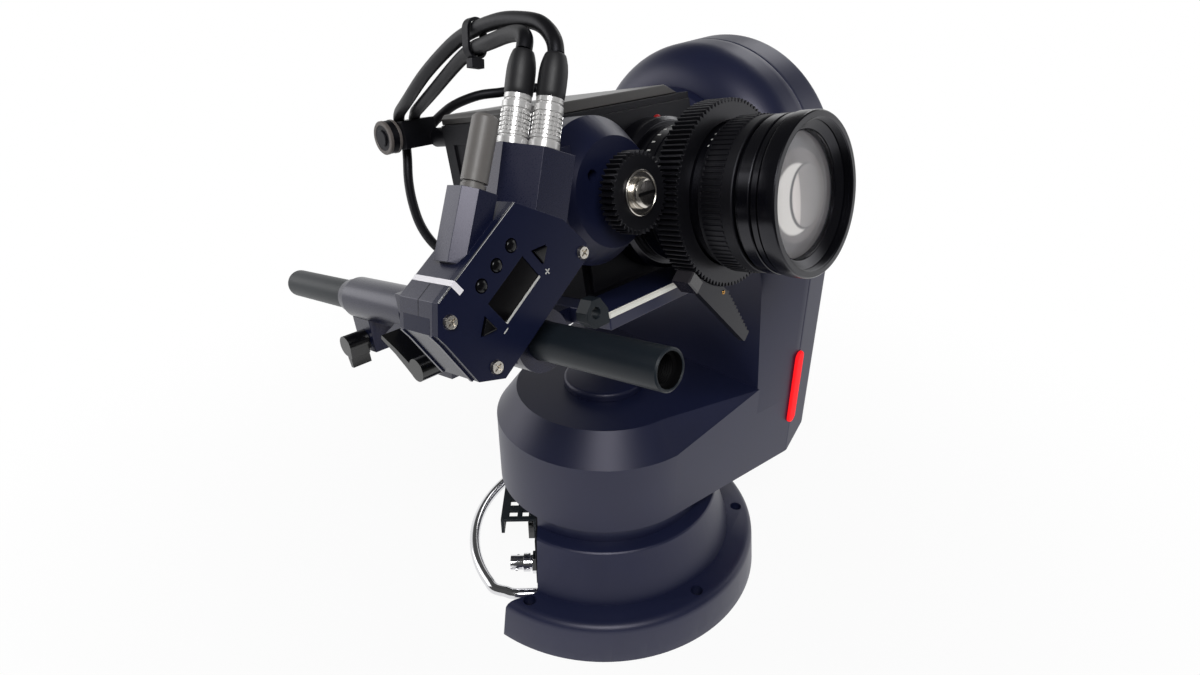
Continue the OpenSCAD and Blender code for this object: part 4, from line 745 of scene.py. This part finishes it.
class HEAD_OT_arm(bpy.types.Operator):
    """Lofts the arm's shell and cover and sets the lit tally light into their seam."""

    bl_idname = "head.arm"
    bl_label = "Arm and tally light"

    def execute(self, context):
        self.shell()
        self.cover()
        dress_all((("arm_shell", "satin paint", 0), ("arm_cover", "satin paint", 0),
                   ("cover_screws", "machined steel", 0)))
        self.screws()
        self.light()
        dress("tally_light", "lit lamp")
        return {"FINISHED"}

    def shell(self):
        """Outlines set along X: they grow by a quarter circle to the full outline and dip in at the seam."""
        turns = np.radians(np.linspace(0, 90, 19))
        steps = [(ARM_IN + ARM_FILLET * (1 - math.cos(t)), ARM_FILLET * (1 - math.sin(t)), 0) for t in turns]
        steps += [(82, 0, 0), (86, 0, 0), (89.4, 0, 0), (89.8, 0.15, 0.15), (90, 0.5, 0.5)]
        rows = [arm_ring(*step, PAN_SIDE_TOP) for step in steps]
        put(skin("arm_shell_skin", [np.stack(rows)], sharp=40), "pan", "satin paint", "arm_shell")

    def cover(self):
        """Outlines set along X: they rise from the seam and shrink by a quarter circle at the outer edge."""
        steps = [(90, 0.5), (90.2, 0.15), (90.6, 0), (92, 0), (98, 0), (103, 0), (106, 0)]
        for t in np.radians(np.linspace(0, 90, 8)):
            steps.append((ARM_OUT - ARM_EDGE * (1 - math.sin(t)), ARM_EDGE * (1 - math.cos(t))))
        rows = [arm_ring(x, inset, inset, cover_low(x)) for x, inset in steps]
        put(skin("arm_cover_skin", [np.stack(rows)], sharp=40), "pan", "satin paint", "arm_cover")

    def screws(self):
        """Screw heads on the cover: a rim, a flat and a round socket, turned on five places."""
        reach, foot = ARM_TOP_R - ARM_EDGE - 6, FOOT_WIDE - ARM_EDGE - 7
        turns = np.radians((30, 90, 150))
        spots = [(reach * math.cos(a), TILT_Z - ARM_SINK + reach * math.sin(a)) for a in turns]
        spots += [(-foot, PAN_SIDE_TOP), (foot, PAN_SIDE_TOP)]
        # Seats and sockets are near-black discs: painted shade round each head and in each socket
        for name, profile, look, nodes in (
                ("cover_screws_skin", SCREW_HEAD, "machined steel", ("cover_screws",)),
                ("cover_screw_seats", SCREW_SEAT, "bore black", ()),
                ("cover_screw_sockets", SCREW_SOCKET, "bore black", ())):
            grids = [turned(profile, (ARM_OUT, y, z), (1, 0, 0), (0, 1, 0), 32) * MM for y, z in spots]
            put(skin(name, grids, sharp=30, caps=False), "pan", look, *nodes)

    def light(self):
        """A round-ended bar on the arm's front face: its outline shrunk and raised row by row."""
        width, length, middle = 8.0, 51.0, 113.5
        out = stadium(width, length)
        rows = [np.stack([ARM_SEAM + out[:, 1] * share, np.full(len(out), -FOOT_WIDE - height),
                          middle + out[:, 0] * (1 - (1 - share) * width / length)], -1)
                for share, height in ((1, 0), (1, 0.7), (0.97, 1.15), (0.9, 1.45), (0.7, 1.6), (0.0, 1.6))]
        put(skin("tally_light_skin", [np.stack(rows) * MM], sharp=60), "pan", "lit lamp", "tally_light")


class HEAD_OT_pan(bpy.types.Operator):
    """Dresses the pan housing, its cap and the drive inside it."""

    bl_idname = "head.pan"
    bl_label = "Pan housing"

    def execute(self, context):
        dress("pan_housing", "satin paint", sizes().edge)
        dress("pan_cap", "satin paint", 0.4 * MM)
        for node in ("spindle", "pan_gear", "tilt_pinion", "tilt_bearing", "tilt_gear"):
            dress(node, "machined steel")
        for node in ("slip_ring", "tilt_motor"):
            dress(node, "black anodising")
        return {"FINISHED"}


class HEAD_OT_cradle(bpy.types.Operator):
    """Dresses the tilt hub, the cradle with its pale shelf edge, its lug and the thumb screw;
    the shelf edge has a painted glow.
    """

    bl_idname = "head.cradle"
    bl_label = "Cradle"

    def execute(self, context):
        dress_all((("tilt_hub", "satin paint", 0.4), ("cradle", "satin paint", 0.6),
                   ("shelf_lug", "black anodising", 0.4), ("thumb_screw", "black anodising", 0.2)))
        left, right = -61.6, 28.0
        section = np.array([(-42.3, 55.1), (-42.1, 55.5), (-40.4, 55.5), (-40.2, 55.1), (-40.2, 49.0),
                            (-42.3, 49.0)])
        plank = np.stack([flat(section, x)[:, [2, 0, 1]] for x in (left, right)])
        # The shelf edge's pale plank carries a painted glow
        put(skin("shelf_edge", [payload(plank)]), "tilt", "satin plank")
        return {"FINISHED"}


class HEAD_OT_camera(bpy.types.Operator):
    """Dresses the camera body, its top plate and the mount collar with its red index dot."""

    bl_idname = "head.camera"
    bl_label = "Camera"

    def execute(self, context):
        dress_all((("camera_body", "matt black plastic", 1.0), ("camera_top", "camera top", 0.6),
                   ("mount_collar", "lens black", 0.4)))
        radius, height, sunk = 1.7, 1.2, 0.3
        t = np.linspace(0, QUARTER, 7)
        dome = np.stack([radius * np.cos(t), height * np.sin(t) - sunk], -1)
        lathe("index_dot", dome, "red index", at=(2.0, 36.0, 39.5), axis=(0.06, 1, 0), segments=28,
              sharp=32.0, caps=True)
        return {"FINISHED"}


class HEAD_OT_lens(bpy.types.Operator):
    """Turns the lens barrel with its grooves, the ribbed zoom ring, the gear ring and the coated glass,
    with painted reflections on the element behind it.
    """

    bl_idname = "head.lens"
    bl_label = "Lens"

    def execute(self, context):
        barrel = BARREL + threaded(30.6, 31.0, 122.0, 118.4, -0.3) + BARREL_MOUTH
        lathe("lens_barrel_skin", barrel, "lens black", "lens_barrel", segments=160, sharp=24)
        dress("lens_barrel", "lens black")
        lathe("zoom_ring_skin", ZOOM_RING, "matt black plastic", "zoom_ring", body="zoom", segments=840,
              sharp=32.0, wave=self.ribs)
        dress_all((("zoom_ring", "matt black plastic", 0), ("focus_ring", "gear plastic", 0.15, 20),
                   ("gear_strap", "gear plastic", 0)))
        self.buckle()
        self.tail()
        self.marks()
        self.glass()
        return {"FINISHED"}

    def ribs(self, angle, r, h):
        """Even grooves round the middle band, where the cosine of a multiple of the angle is high."""
        band, depth, count, share = 33.8, 0.5, 84, 0.25
        return -depth * (r > band) * (np.cos(count * angle) > share)

    def buckle(self):
        """A clear buckle under the gear ring: a rectangle carried forward, smaller at both ends."""
        near, far, low, high = 41.7, 47.6, 0.5, 9.5
        rows = []
        for forward, inset in ((70.0, 0.6), (70.6, 0.0), (79.4, 0.0), (80.0, 0.6)):
            corners = np.array([(near, low + inset), (far - inset, low + inset), (far - inset, high - inset),
                                (near, high - inset)])
            rows.append(flat(swung(corners, STRAP_TURN), forward))
        put(skin("strap_buckle", [payload(np.stack(rows))]), "focus", "clear buckle", "gear_strap")

    def tail(self):
        """The strap's tapered tail with a square wave of teeth on its inner edge, and its domed pin."""
        count, teeth, depth, across = 49, 12, 0.45, np.array((-0.98, 0.19))
        t = np.linspace(0, 1, count)
        edge = np.linspace((39.4, 57.0), (33.6, 27.0), count)
        edge += depth * np.sign(np.sin(2 * teeth * math.pi * t))[:, None] * across
        seat, a = 41.75, np.radians(np.linspace(34.5, 9.0, 9))
        under = seat * np.stack([np.cos(a), np.sin(a)], -1)
        outline = swung(np.vstack([[(47.2, 6.0), (44.8, 56.4), (44.0, 57.0)], edge, under]), STRAP_TURN)
        tail = np.stack([flat(outline, forward) for forward in (76.8, 79.9)])
        put(skin("strap_tail", [payload(tail)]), "focus", "gear plastic", "gear_strap")
        radius, height, face = 1.1, 0.7, 79.8
        t = np.linspace(0, QUARTER, 6)
        dome = np.stack([radius * np.cos(t), face + height * np.sin(t)], -1)
        lathe("strap_pin", dome, "brass pin", body="focus", at=(-11.5, -42.8, 0), segments=24, sharp=32.0,
              caps=True)

    def glass(self):
        """A domed front glass and, close behind it, a domed element that shows pale crescents,
        which are painted reflections that glow.
        """
        radius, flat_back, rim, crown = 26.5, 115.4, 116.0, 4.6
        t = np.linspace(0, 1, 14)
        bulge = 1 - (1 - t) ** 2
        front = np.stack([radius * (1 - t), rim + crown * bulge], -1)
        back = np.stack([radius * t, np.full(14, flat_back)], -1)
        glass, _, shader = new_material("coated glass")
        fill(shader, {"Base Color": (0.96, 0.97, 1.0, 1), "Roughness": 0.02, "IOR": 1.12,
                      "Transmission Weight": 1.0})
        lathe("lens_glass_skin", np.vstack([back, front]), glass, "lens_glass", segments=96, sharp=60)
        dress("lens_glass", glass)
        radius, foot, rim, crown = 26.2, 111.6, 112.0, 3.0
        inner = np.vstack([[(radius, foot)], np.stack([radius * (1 - t), rim + crown * bulge], -1)])
        # The inner element shows the painted reflections
        lathe("inner_element", inner, self.coating(), segments=96, sharp=60, caps=True)

    def coating(self):
        """Painted reflections as crescents: discs that lie over one another off the axis, each with a soft
        edge and a shade, shown as a glow.
        """
        material, tree, shader = new_material("pale coating")
        coord, split, ramp = made(tree, "TexCoord"), made(tree, "SeparateXYZ"), made(tree, "ValToRGB")
        squeeze = made(tree, "Mapping", {"Scale": PAINTED_REFLECTION_SQUEEZE})
        span = made(tree, "MapRange", {"From Min": -0.011, "From Max": 0.018})
        wire(tree, (coord, "Object", squeeze, "Vector"), (coord, "Object", split, 0),
             (split, "X", span, "Value"), (span, "Result", ramp, "Fac"))
        warm, stops = np.array((1, 0.96, 0.93)), ramp.color_ramp.elements
        for place, grey in PAINTED_REFLECTION_RAMP:
            ends = {0.0: stops[0], 1.0: stops[-1]}
            stop = ends[place] if place in ends else stops.new(place)
            stop.color = (*srgb(*(grey * warm)), 1)
        under = None
        for side, up, radius, soft, shade in PAINTED_REFLECTION_DISCS:
            centre = tuple(payload((side, up, PAINTED_REFLECTION_DEPTH)) * PAINTED_REFLECTION_SQUEEZE)
            far = made(tree, "VectorMath", {1: centre}, operation="DISTANCE")
            start, end = (radius + soft) * MM, (radius - soft) * MM
            edge = made(tree, "MapRange", {"From Min": start, "From Max": end})
            mix = made(tree, "Mix", {"A": (*srgb(*PAINTED_REFLECTION_RIM), 1)}, data_type="RGBA")
            wire(tree, (squeeze, "Vector", far, 0), (far, "Value", edge, "Value"),
                 (edge, "Result", mix, "Factor"))
            if under:
                wire(tree, (under, "Result", mix, "A"))
            if shade:
                fill(mix, {"B": (*srgb(*shade), 1)})
            else:
                wire(tree, (ramp, "Color", mix, "B"))
            under = mix
        # The painted reflections glow, so they stay pale under any lamp
        wire(tree, (under, "Result", shader, "Emission Color"))
        fill(shader, {"Emission Strength": 0.7, "Base Color": (0.03, 0.03, 0.03, 1), "Roughness": 0.3})
        return material

    def marks(self):
        """Plain scale lines on the barrel: short bars laid round it at even angles."""
        radius, half_width = 32.03, 0.45
        w = np.linspace(-half_width / radius, half_width / radius, 4)
        for name, low, high, angles in (("focal_marks", 84.3, 85.5, np.arange(78, 131, 6.5)),
                                        ("mount_marks", 51.6, 53.4, np.arange(96, 150, 9))):
            arcs = [radius * np.stack([np.cos(a + w), np.sin(a + w)], -1) for a in np.radians(angles)]
            bars = [payload(np.stack([flat(arc, low), flat(arc, high)])) for arc in arcs]
            put(skin(name, bars, wrap=False, caps=False), "tilt", "white mark")


class HEAD_OT_rod(bpy.types.Operator):
    """Turns the hollow-ended rod and dresses its bracket, sleeve, clamp and levers."""

    bl_idname = "head.rod"
    bl_label = "Rod"

    def execute(self, context):
        depth, step, mouth, lead, core, root, crest = 20.0, 3.0, 6.3, 0.2, 5.2, 5.05, 5.4
        thread = threaded(root, crest, step + lead, depth, 0.5)
        bore = [(0, depth), (core, depth)] + thread[::-1] + [(crest, step), (mouth, step - lead), ROD_RIM[0]]
        outer = [(r, ROD_BACK + v) for r, v in ROD_RIM] + [(r, ROD_FRONT - v) for r, v in ROD_RIM[::-1]]
        lathe("rod_skin", outer, "black anodising", "rod", at=ROD_AT, sharp=24)
        # The bores take a near-black finish: painted shade in the hollow ends
        holes = [[(r, ROD_BACK + v) for r, v in bore], [(r, ROD_FRONT - v) for r, v in bore]]
        grids = [payload(turned(hole, ROD_AT, (0, 0, 1), (1, 0, 0), 72)) for hole in holes]
        put(skin("rod_bores", grids, sharp=24, caps=False), "tilt", "bore black", "rod")
        dress_all((("rod", "black anodising", 0), ("rod_bracket", "fine satin paint", 0.6),
                   ("rod_sleeve", "fine satin paint", 0.5), ("rod_clamp", "fine satin paint", 0.5),
                   ("front_lever", "lever black", 0.7), ("rear_lever", "lever black", 0.7)))
        return {"FINISHED"}


class HEAD_OT_motor(bpy.types.Operator):
    """Dresses the lens motor: case, plate, gearbox, buttons, display, stub, drive gear and screws."""

    bl_idname = "head.motor"
    bl_label = "Lens motor"

    def execute(self, context):
        dress_all((("motor_case", "fine satin paint", 0.5), ("motor_plate", "plate paint", 0.5),
                   ("gearbox", "gearbox paint", 0.7), ("motor_screws", "machined steel", 0.1),
                   ("display_window", "display glass", 0.2), ("plus_button", "button black", 0.7),
                   ("minus_button", "button black", 0.7)))
        self.buttons()
        dress_all((("antenna", "stub rubber", 0.3), ("drive_gear", "gear plastic", 0.15, 20),
                   ("gear_screw", "machined steel", 0)))
        self.trim()
        self.rails()
        self.marks()
        self.hub()
        return {"FINISHED"}

    def buttons(self):
        """Three domed buttons in a row: a short cylinder under a flattened quarter circle."""
        radius, foot, rim, crown, flatness = 2.1, 85.2, 87.9, 0.95, 0.7
        pitch, shift, up = 8.4, 0.9, 10.8
        t = np.radians(np.linspace(0, 90, 9))
        curve = np.stack([radius * np.cos(t) ** flatness, rim + crown * np.sin(t)], -1)
        dome = np.vstack([[(0, foot), (radius, foot)], curve])
        for k, node in enumerate(("first_button", "second_button", "third_button")):
            dress(node, "button black")
            lathe(node + "_skin", dome, "button black", node, body=NODES[node]["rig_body"],
                  at=on_unit(pitch * (1 - k) + shift, up, 0.0), segments=48, sharp=50)

    def trim(self):
        """The display's lower line, the pale strip over the plate's edge with its painted glow, and bright
        metal beads along the plate's upper edge that stand in for its highlight.
        """
        front, top, proud, sunk = PLATE_FRONT, PLATE_TOP, 0.15, 0.4
        strip = (-14.8, -12.7)
        self.bar("window_line", (-10.0, 10.0), (-5.45, -4.8), (front - 0.2, front + 0.12), "white mark")
        # The pale strip's glow is painted light
        self.bar("light_strip_front", strip, (15.2, top + proud), (front - sunk, front + proud),
                 "light strip")
        self.bar("light_strip_top", strip, (top - sunk, top + proud), (66.2, front + proud), "light strip")
        # Bright metal beads along the plate's top edge: a painted highlight in place of the lit rounded edge
        count, radius, inset = 24, 0.3, 0.1
        for name, low, high in (("plate_edge_line", -12.5, 19.8), ("plate_corner_line", -21.3, -15.0)):
            path = on_unit(np.linspace(low, high, count), np.full(count, top - inset), front - inset)
            line = skin(name, [payload(carried(path, radius, 10, (0, 0, 1)))], sharp=60)
            put(line, "tilt", "bright plating")

    def rails(self):
        """The channel with two lips along the case's side, and the seam over its top."""
        side = [(-25.2, 16.0), (-29.0, 12.5), (-29.0, 8.5), (-30.5, -9.5)]
        over = [(-15.2, PLATE_TOP), (-21.5, PLATE_TOP), (-25.2, 16.0)]
        for name, path, proud, forward, look in (
                ("rail_channel", side, 0.06, (68.4, 83.4), "plate paint"),
                ("rail_lip_front", side[1:], 0.6, (83.4, 84.8), "fine satin paint"),
                ("rail_lip_back", side[1:], 0.6, (67.0, 68.4), "fine satin paint"),
                ("case_seam", over, 0.03, (77.0, 77.25), "bore black")):
            self.band(name, path, proud, forward, look)

    def marks(self):
        """A plain plus and a plain minus beside the two arrow buttons."""
        up, half, thin, deep = -6.6, 1.2, 0.22, (PLATE_FRONT - 0.1, PLATE_FRONT + 0.04)
        for name, a, wide, tall in (("plus_mark", 13.4, half, thin), ("plus_mark_upright", 13.4, thin, half),
                                    ("minus_mark", -12.0, half, thin)):
            self.bar(name, (a - wide, a + wide), (up - tall, up + tall), deep, "white mark")

    def bar(self, name, along, up, forward, look):
        """A flat bar on the unit: a rectangle of the face carried from one depth to another."""
        a = np.array([along[0], along[1], along[1], along[0]])
        b = np.array([up[0], up[0], up[1], up[1]])
        put(skin(name, [payload(np.stack([on_unit(a, b, f) for f in forward]))]), "tilt", look)

    def band(self, name, path, proud, forward, look):
        """A band on the case's side: a thin rectangle carried along the outline, a little proud of it."""
        sunk = -0.4
        p = np.asarray(path, float)
        along = unit(np.gradient(p, axis=0))
        out = np.stack([-along[:, 1], along[:, 0]], -1)
        out *= np.sign((out * p).sum(1, keepdims=True))
        corners = ((proud, forward[0]), (proud, forward[1]), (sunk, forward[1]), (sunk, forward[0]))
        grid = np.stack([on_unit(*(p + height * out).T, f) for height, f in corners], 1)
        put(skin(name, [payload(grid)]), "tilt", look)

    def hub(self):
        """The drive gear's screw: a dished washer with a bright rim and a domed head with a dark slot,
        a black bar of painted shade.
        """
        profile = [(r, DRIVE_FACE + h) for r, h in DRIVE_WASHER]
        lathe("gear_screw_skin", profile, "machined steel", "gear_screw", body="drive", at=DRIVE_AT)
        half, thin = 5.0, 0.65
        corners = np.array([(-half, -thin), (half, -thin), (half, thin), (-half, thin)]) + DRIVE_AT[:2]
        slot = np.stack([flat(corners, DRIVE_FACE + f) for f in (2.2, 3.66)])
        # A near-black bar on the head: painted shade for the slot
        put(skin("screw_slot", [payload(slot)]), "drive", "bore black")


class HEAD_OT_fittings(bpy.types.Operator):
    """Dresses the rear plug with its cap, the side plug and the cable tie."""

    bl_idname = "head.fittings"
    bl_label = "Cable fittings"

    def execute(self, context):
        dress("cable_fittings", "matt black plastic", 0.6 * MM)
        for name, profile, look, segments in (("rear_cap", REAR_CAP, "cap grey", 56),
                                              ("rear_cap_plug", REAR_CAP_PLUG, "matt black plastic", 36)):
            lathe(name, profile, look, at=REAR_CAP_AT, axis=(-1, 0, 0), first=(0, 1, 0), segments=segments)
        return {"FINISHED"}


class HEAD_PT_looks(bpy.types.Panel):
    """Lists the pieces of the head."""

    bl_idname = "HEAD_PT_looks"
    bl_label = "Pan tilt head"
    bl_space_type = "VIEW_3D"
    bl_region_type = "UI"
    bl_category = "Head"

    def draw(self, context):
        for piece in PIECES:
            self.layout.operator(piece.bl_idname)
        for group in (context.scene.head_colours, context.scene.head_sizes, context.scene.head_stage):
            for name in group.__annotations__:
                self.layout.prop(group, name)


PIECES = (HEAD_OT_stage, HEAD_OT_cords, HEAD_OT_plugs, HEAD_OT_base, HEAD_OT_arm, HEAD_OT_pan, HEAD_OT_cradle,
          HEAD_OT_camera, HEAD_OT_lens, HEAD_OT_rod, HEAD_OT_motor, HEAD_OT_fittings)
GROUPS = (("head_colours", HeadColours), ("head_sizes", HeadSizes), ("head_stage", HeadStage))


def register():
    """Registers the properties, the operators and the panel."""
    for _, group in GROUPS:
        bpy.utils.register_class(group)
    for piece in PIECES:
        bpy.utils.register_class(piece)
    bpy.utils.register_class(HEAD_PT_looks)
    for name, group in GROUPS:
        setattr(bpy.types.Scene, name, PointerProperty(type=group))


def unregister():
    """Takes away what register added, in the opposite order."""
    for name, _ in GROUPS:
        delattr(bpy.types.Scene, name)
    bpy.utils.unregister_class(HEAD_PT_looks)
    for piece in reversed(PIECES):
        bpy.utils.unregister_class(piece)
    for _, group in reversed(GROUPS):
        bpy.utils.unregister_class(group)


def main():
    """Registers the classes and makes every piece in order."""
    register()
    for piece in PIECES:
        space, name = piece.bl_idname.split(".")
        getattr(getattr(bpy.ops, space), name)()


if __name__ == "__main__":
    main()
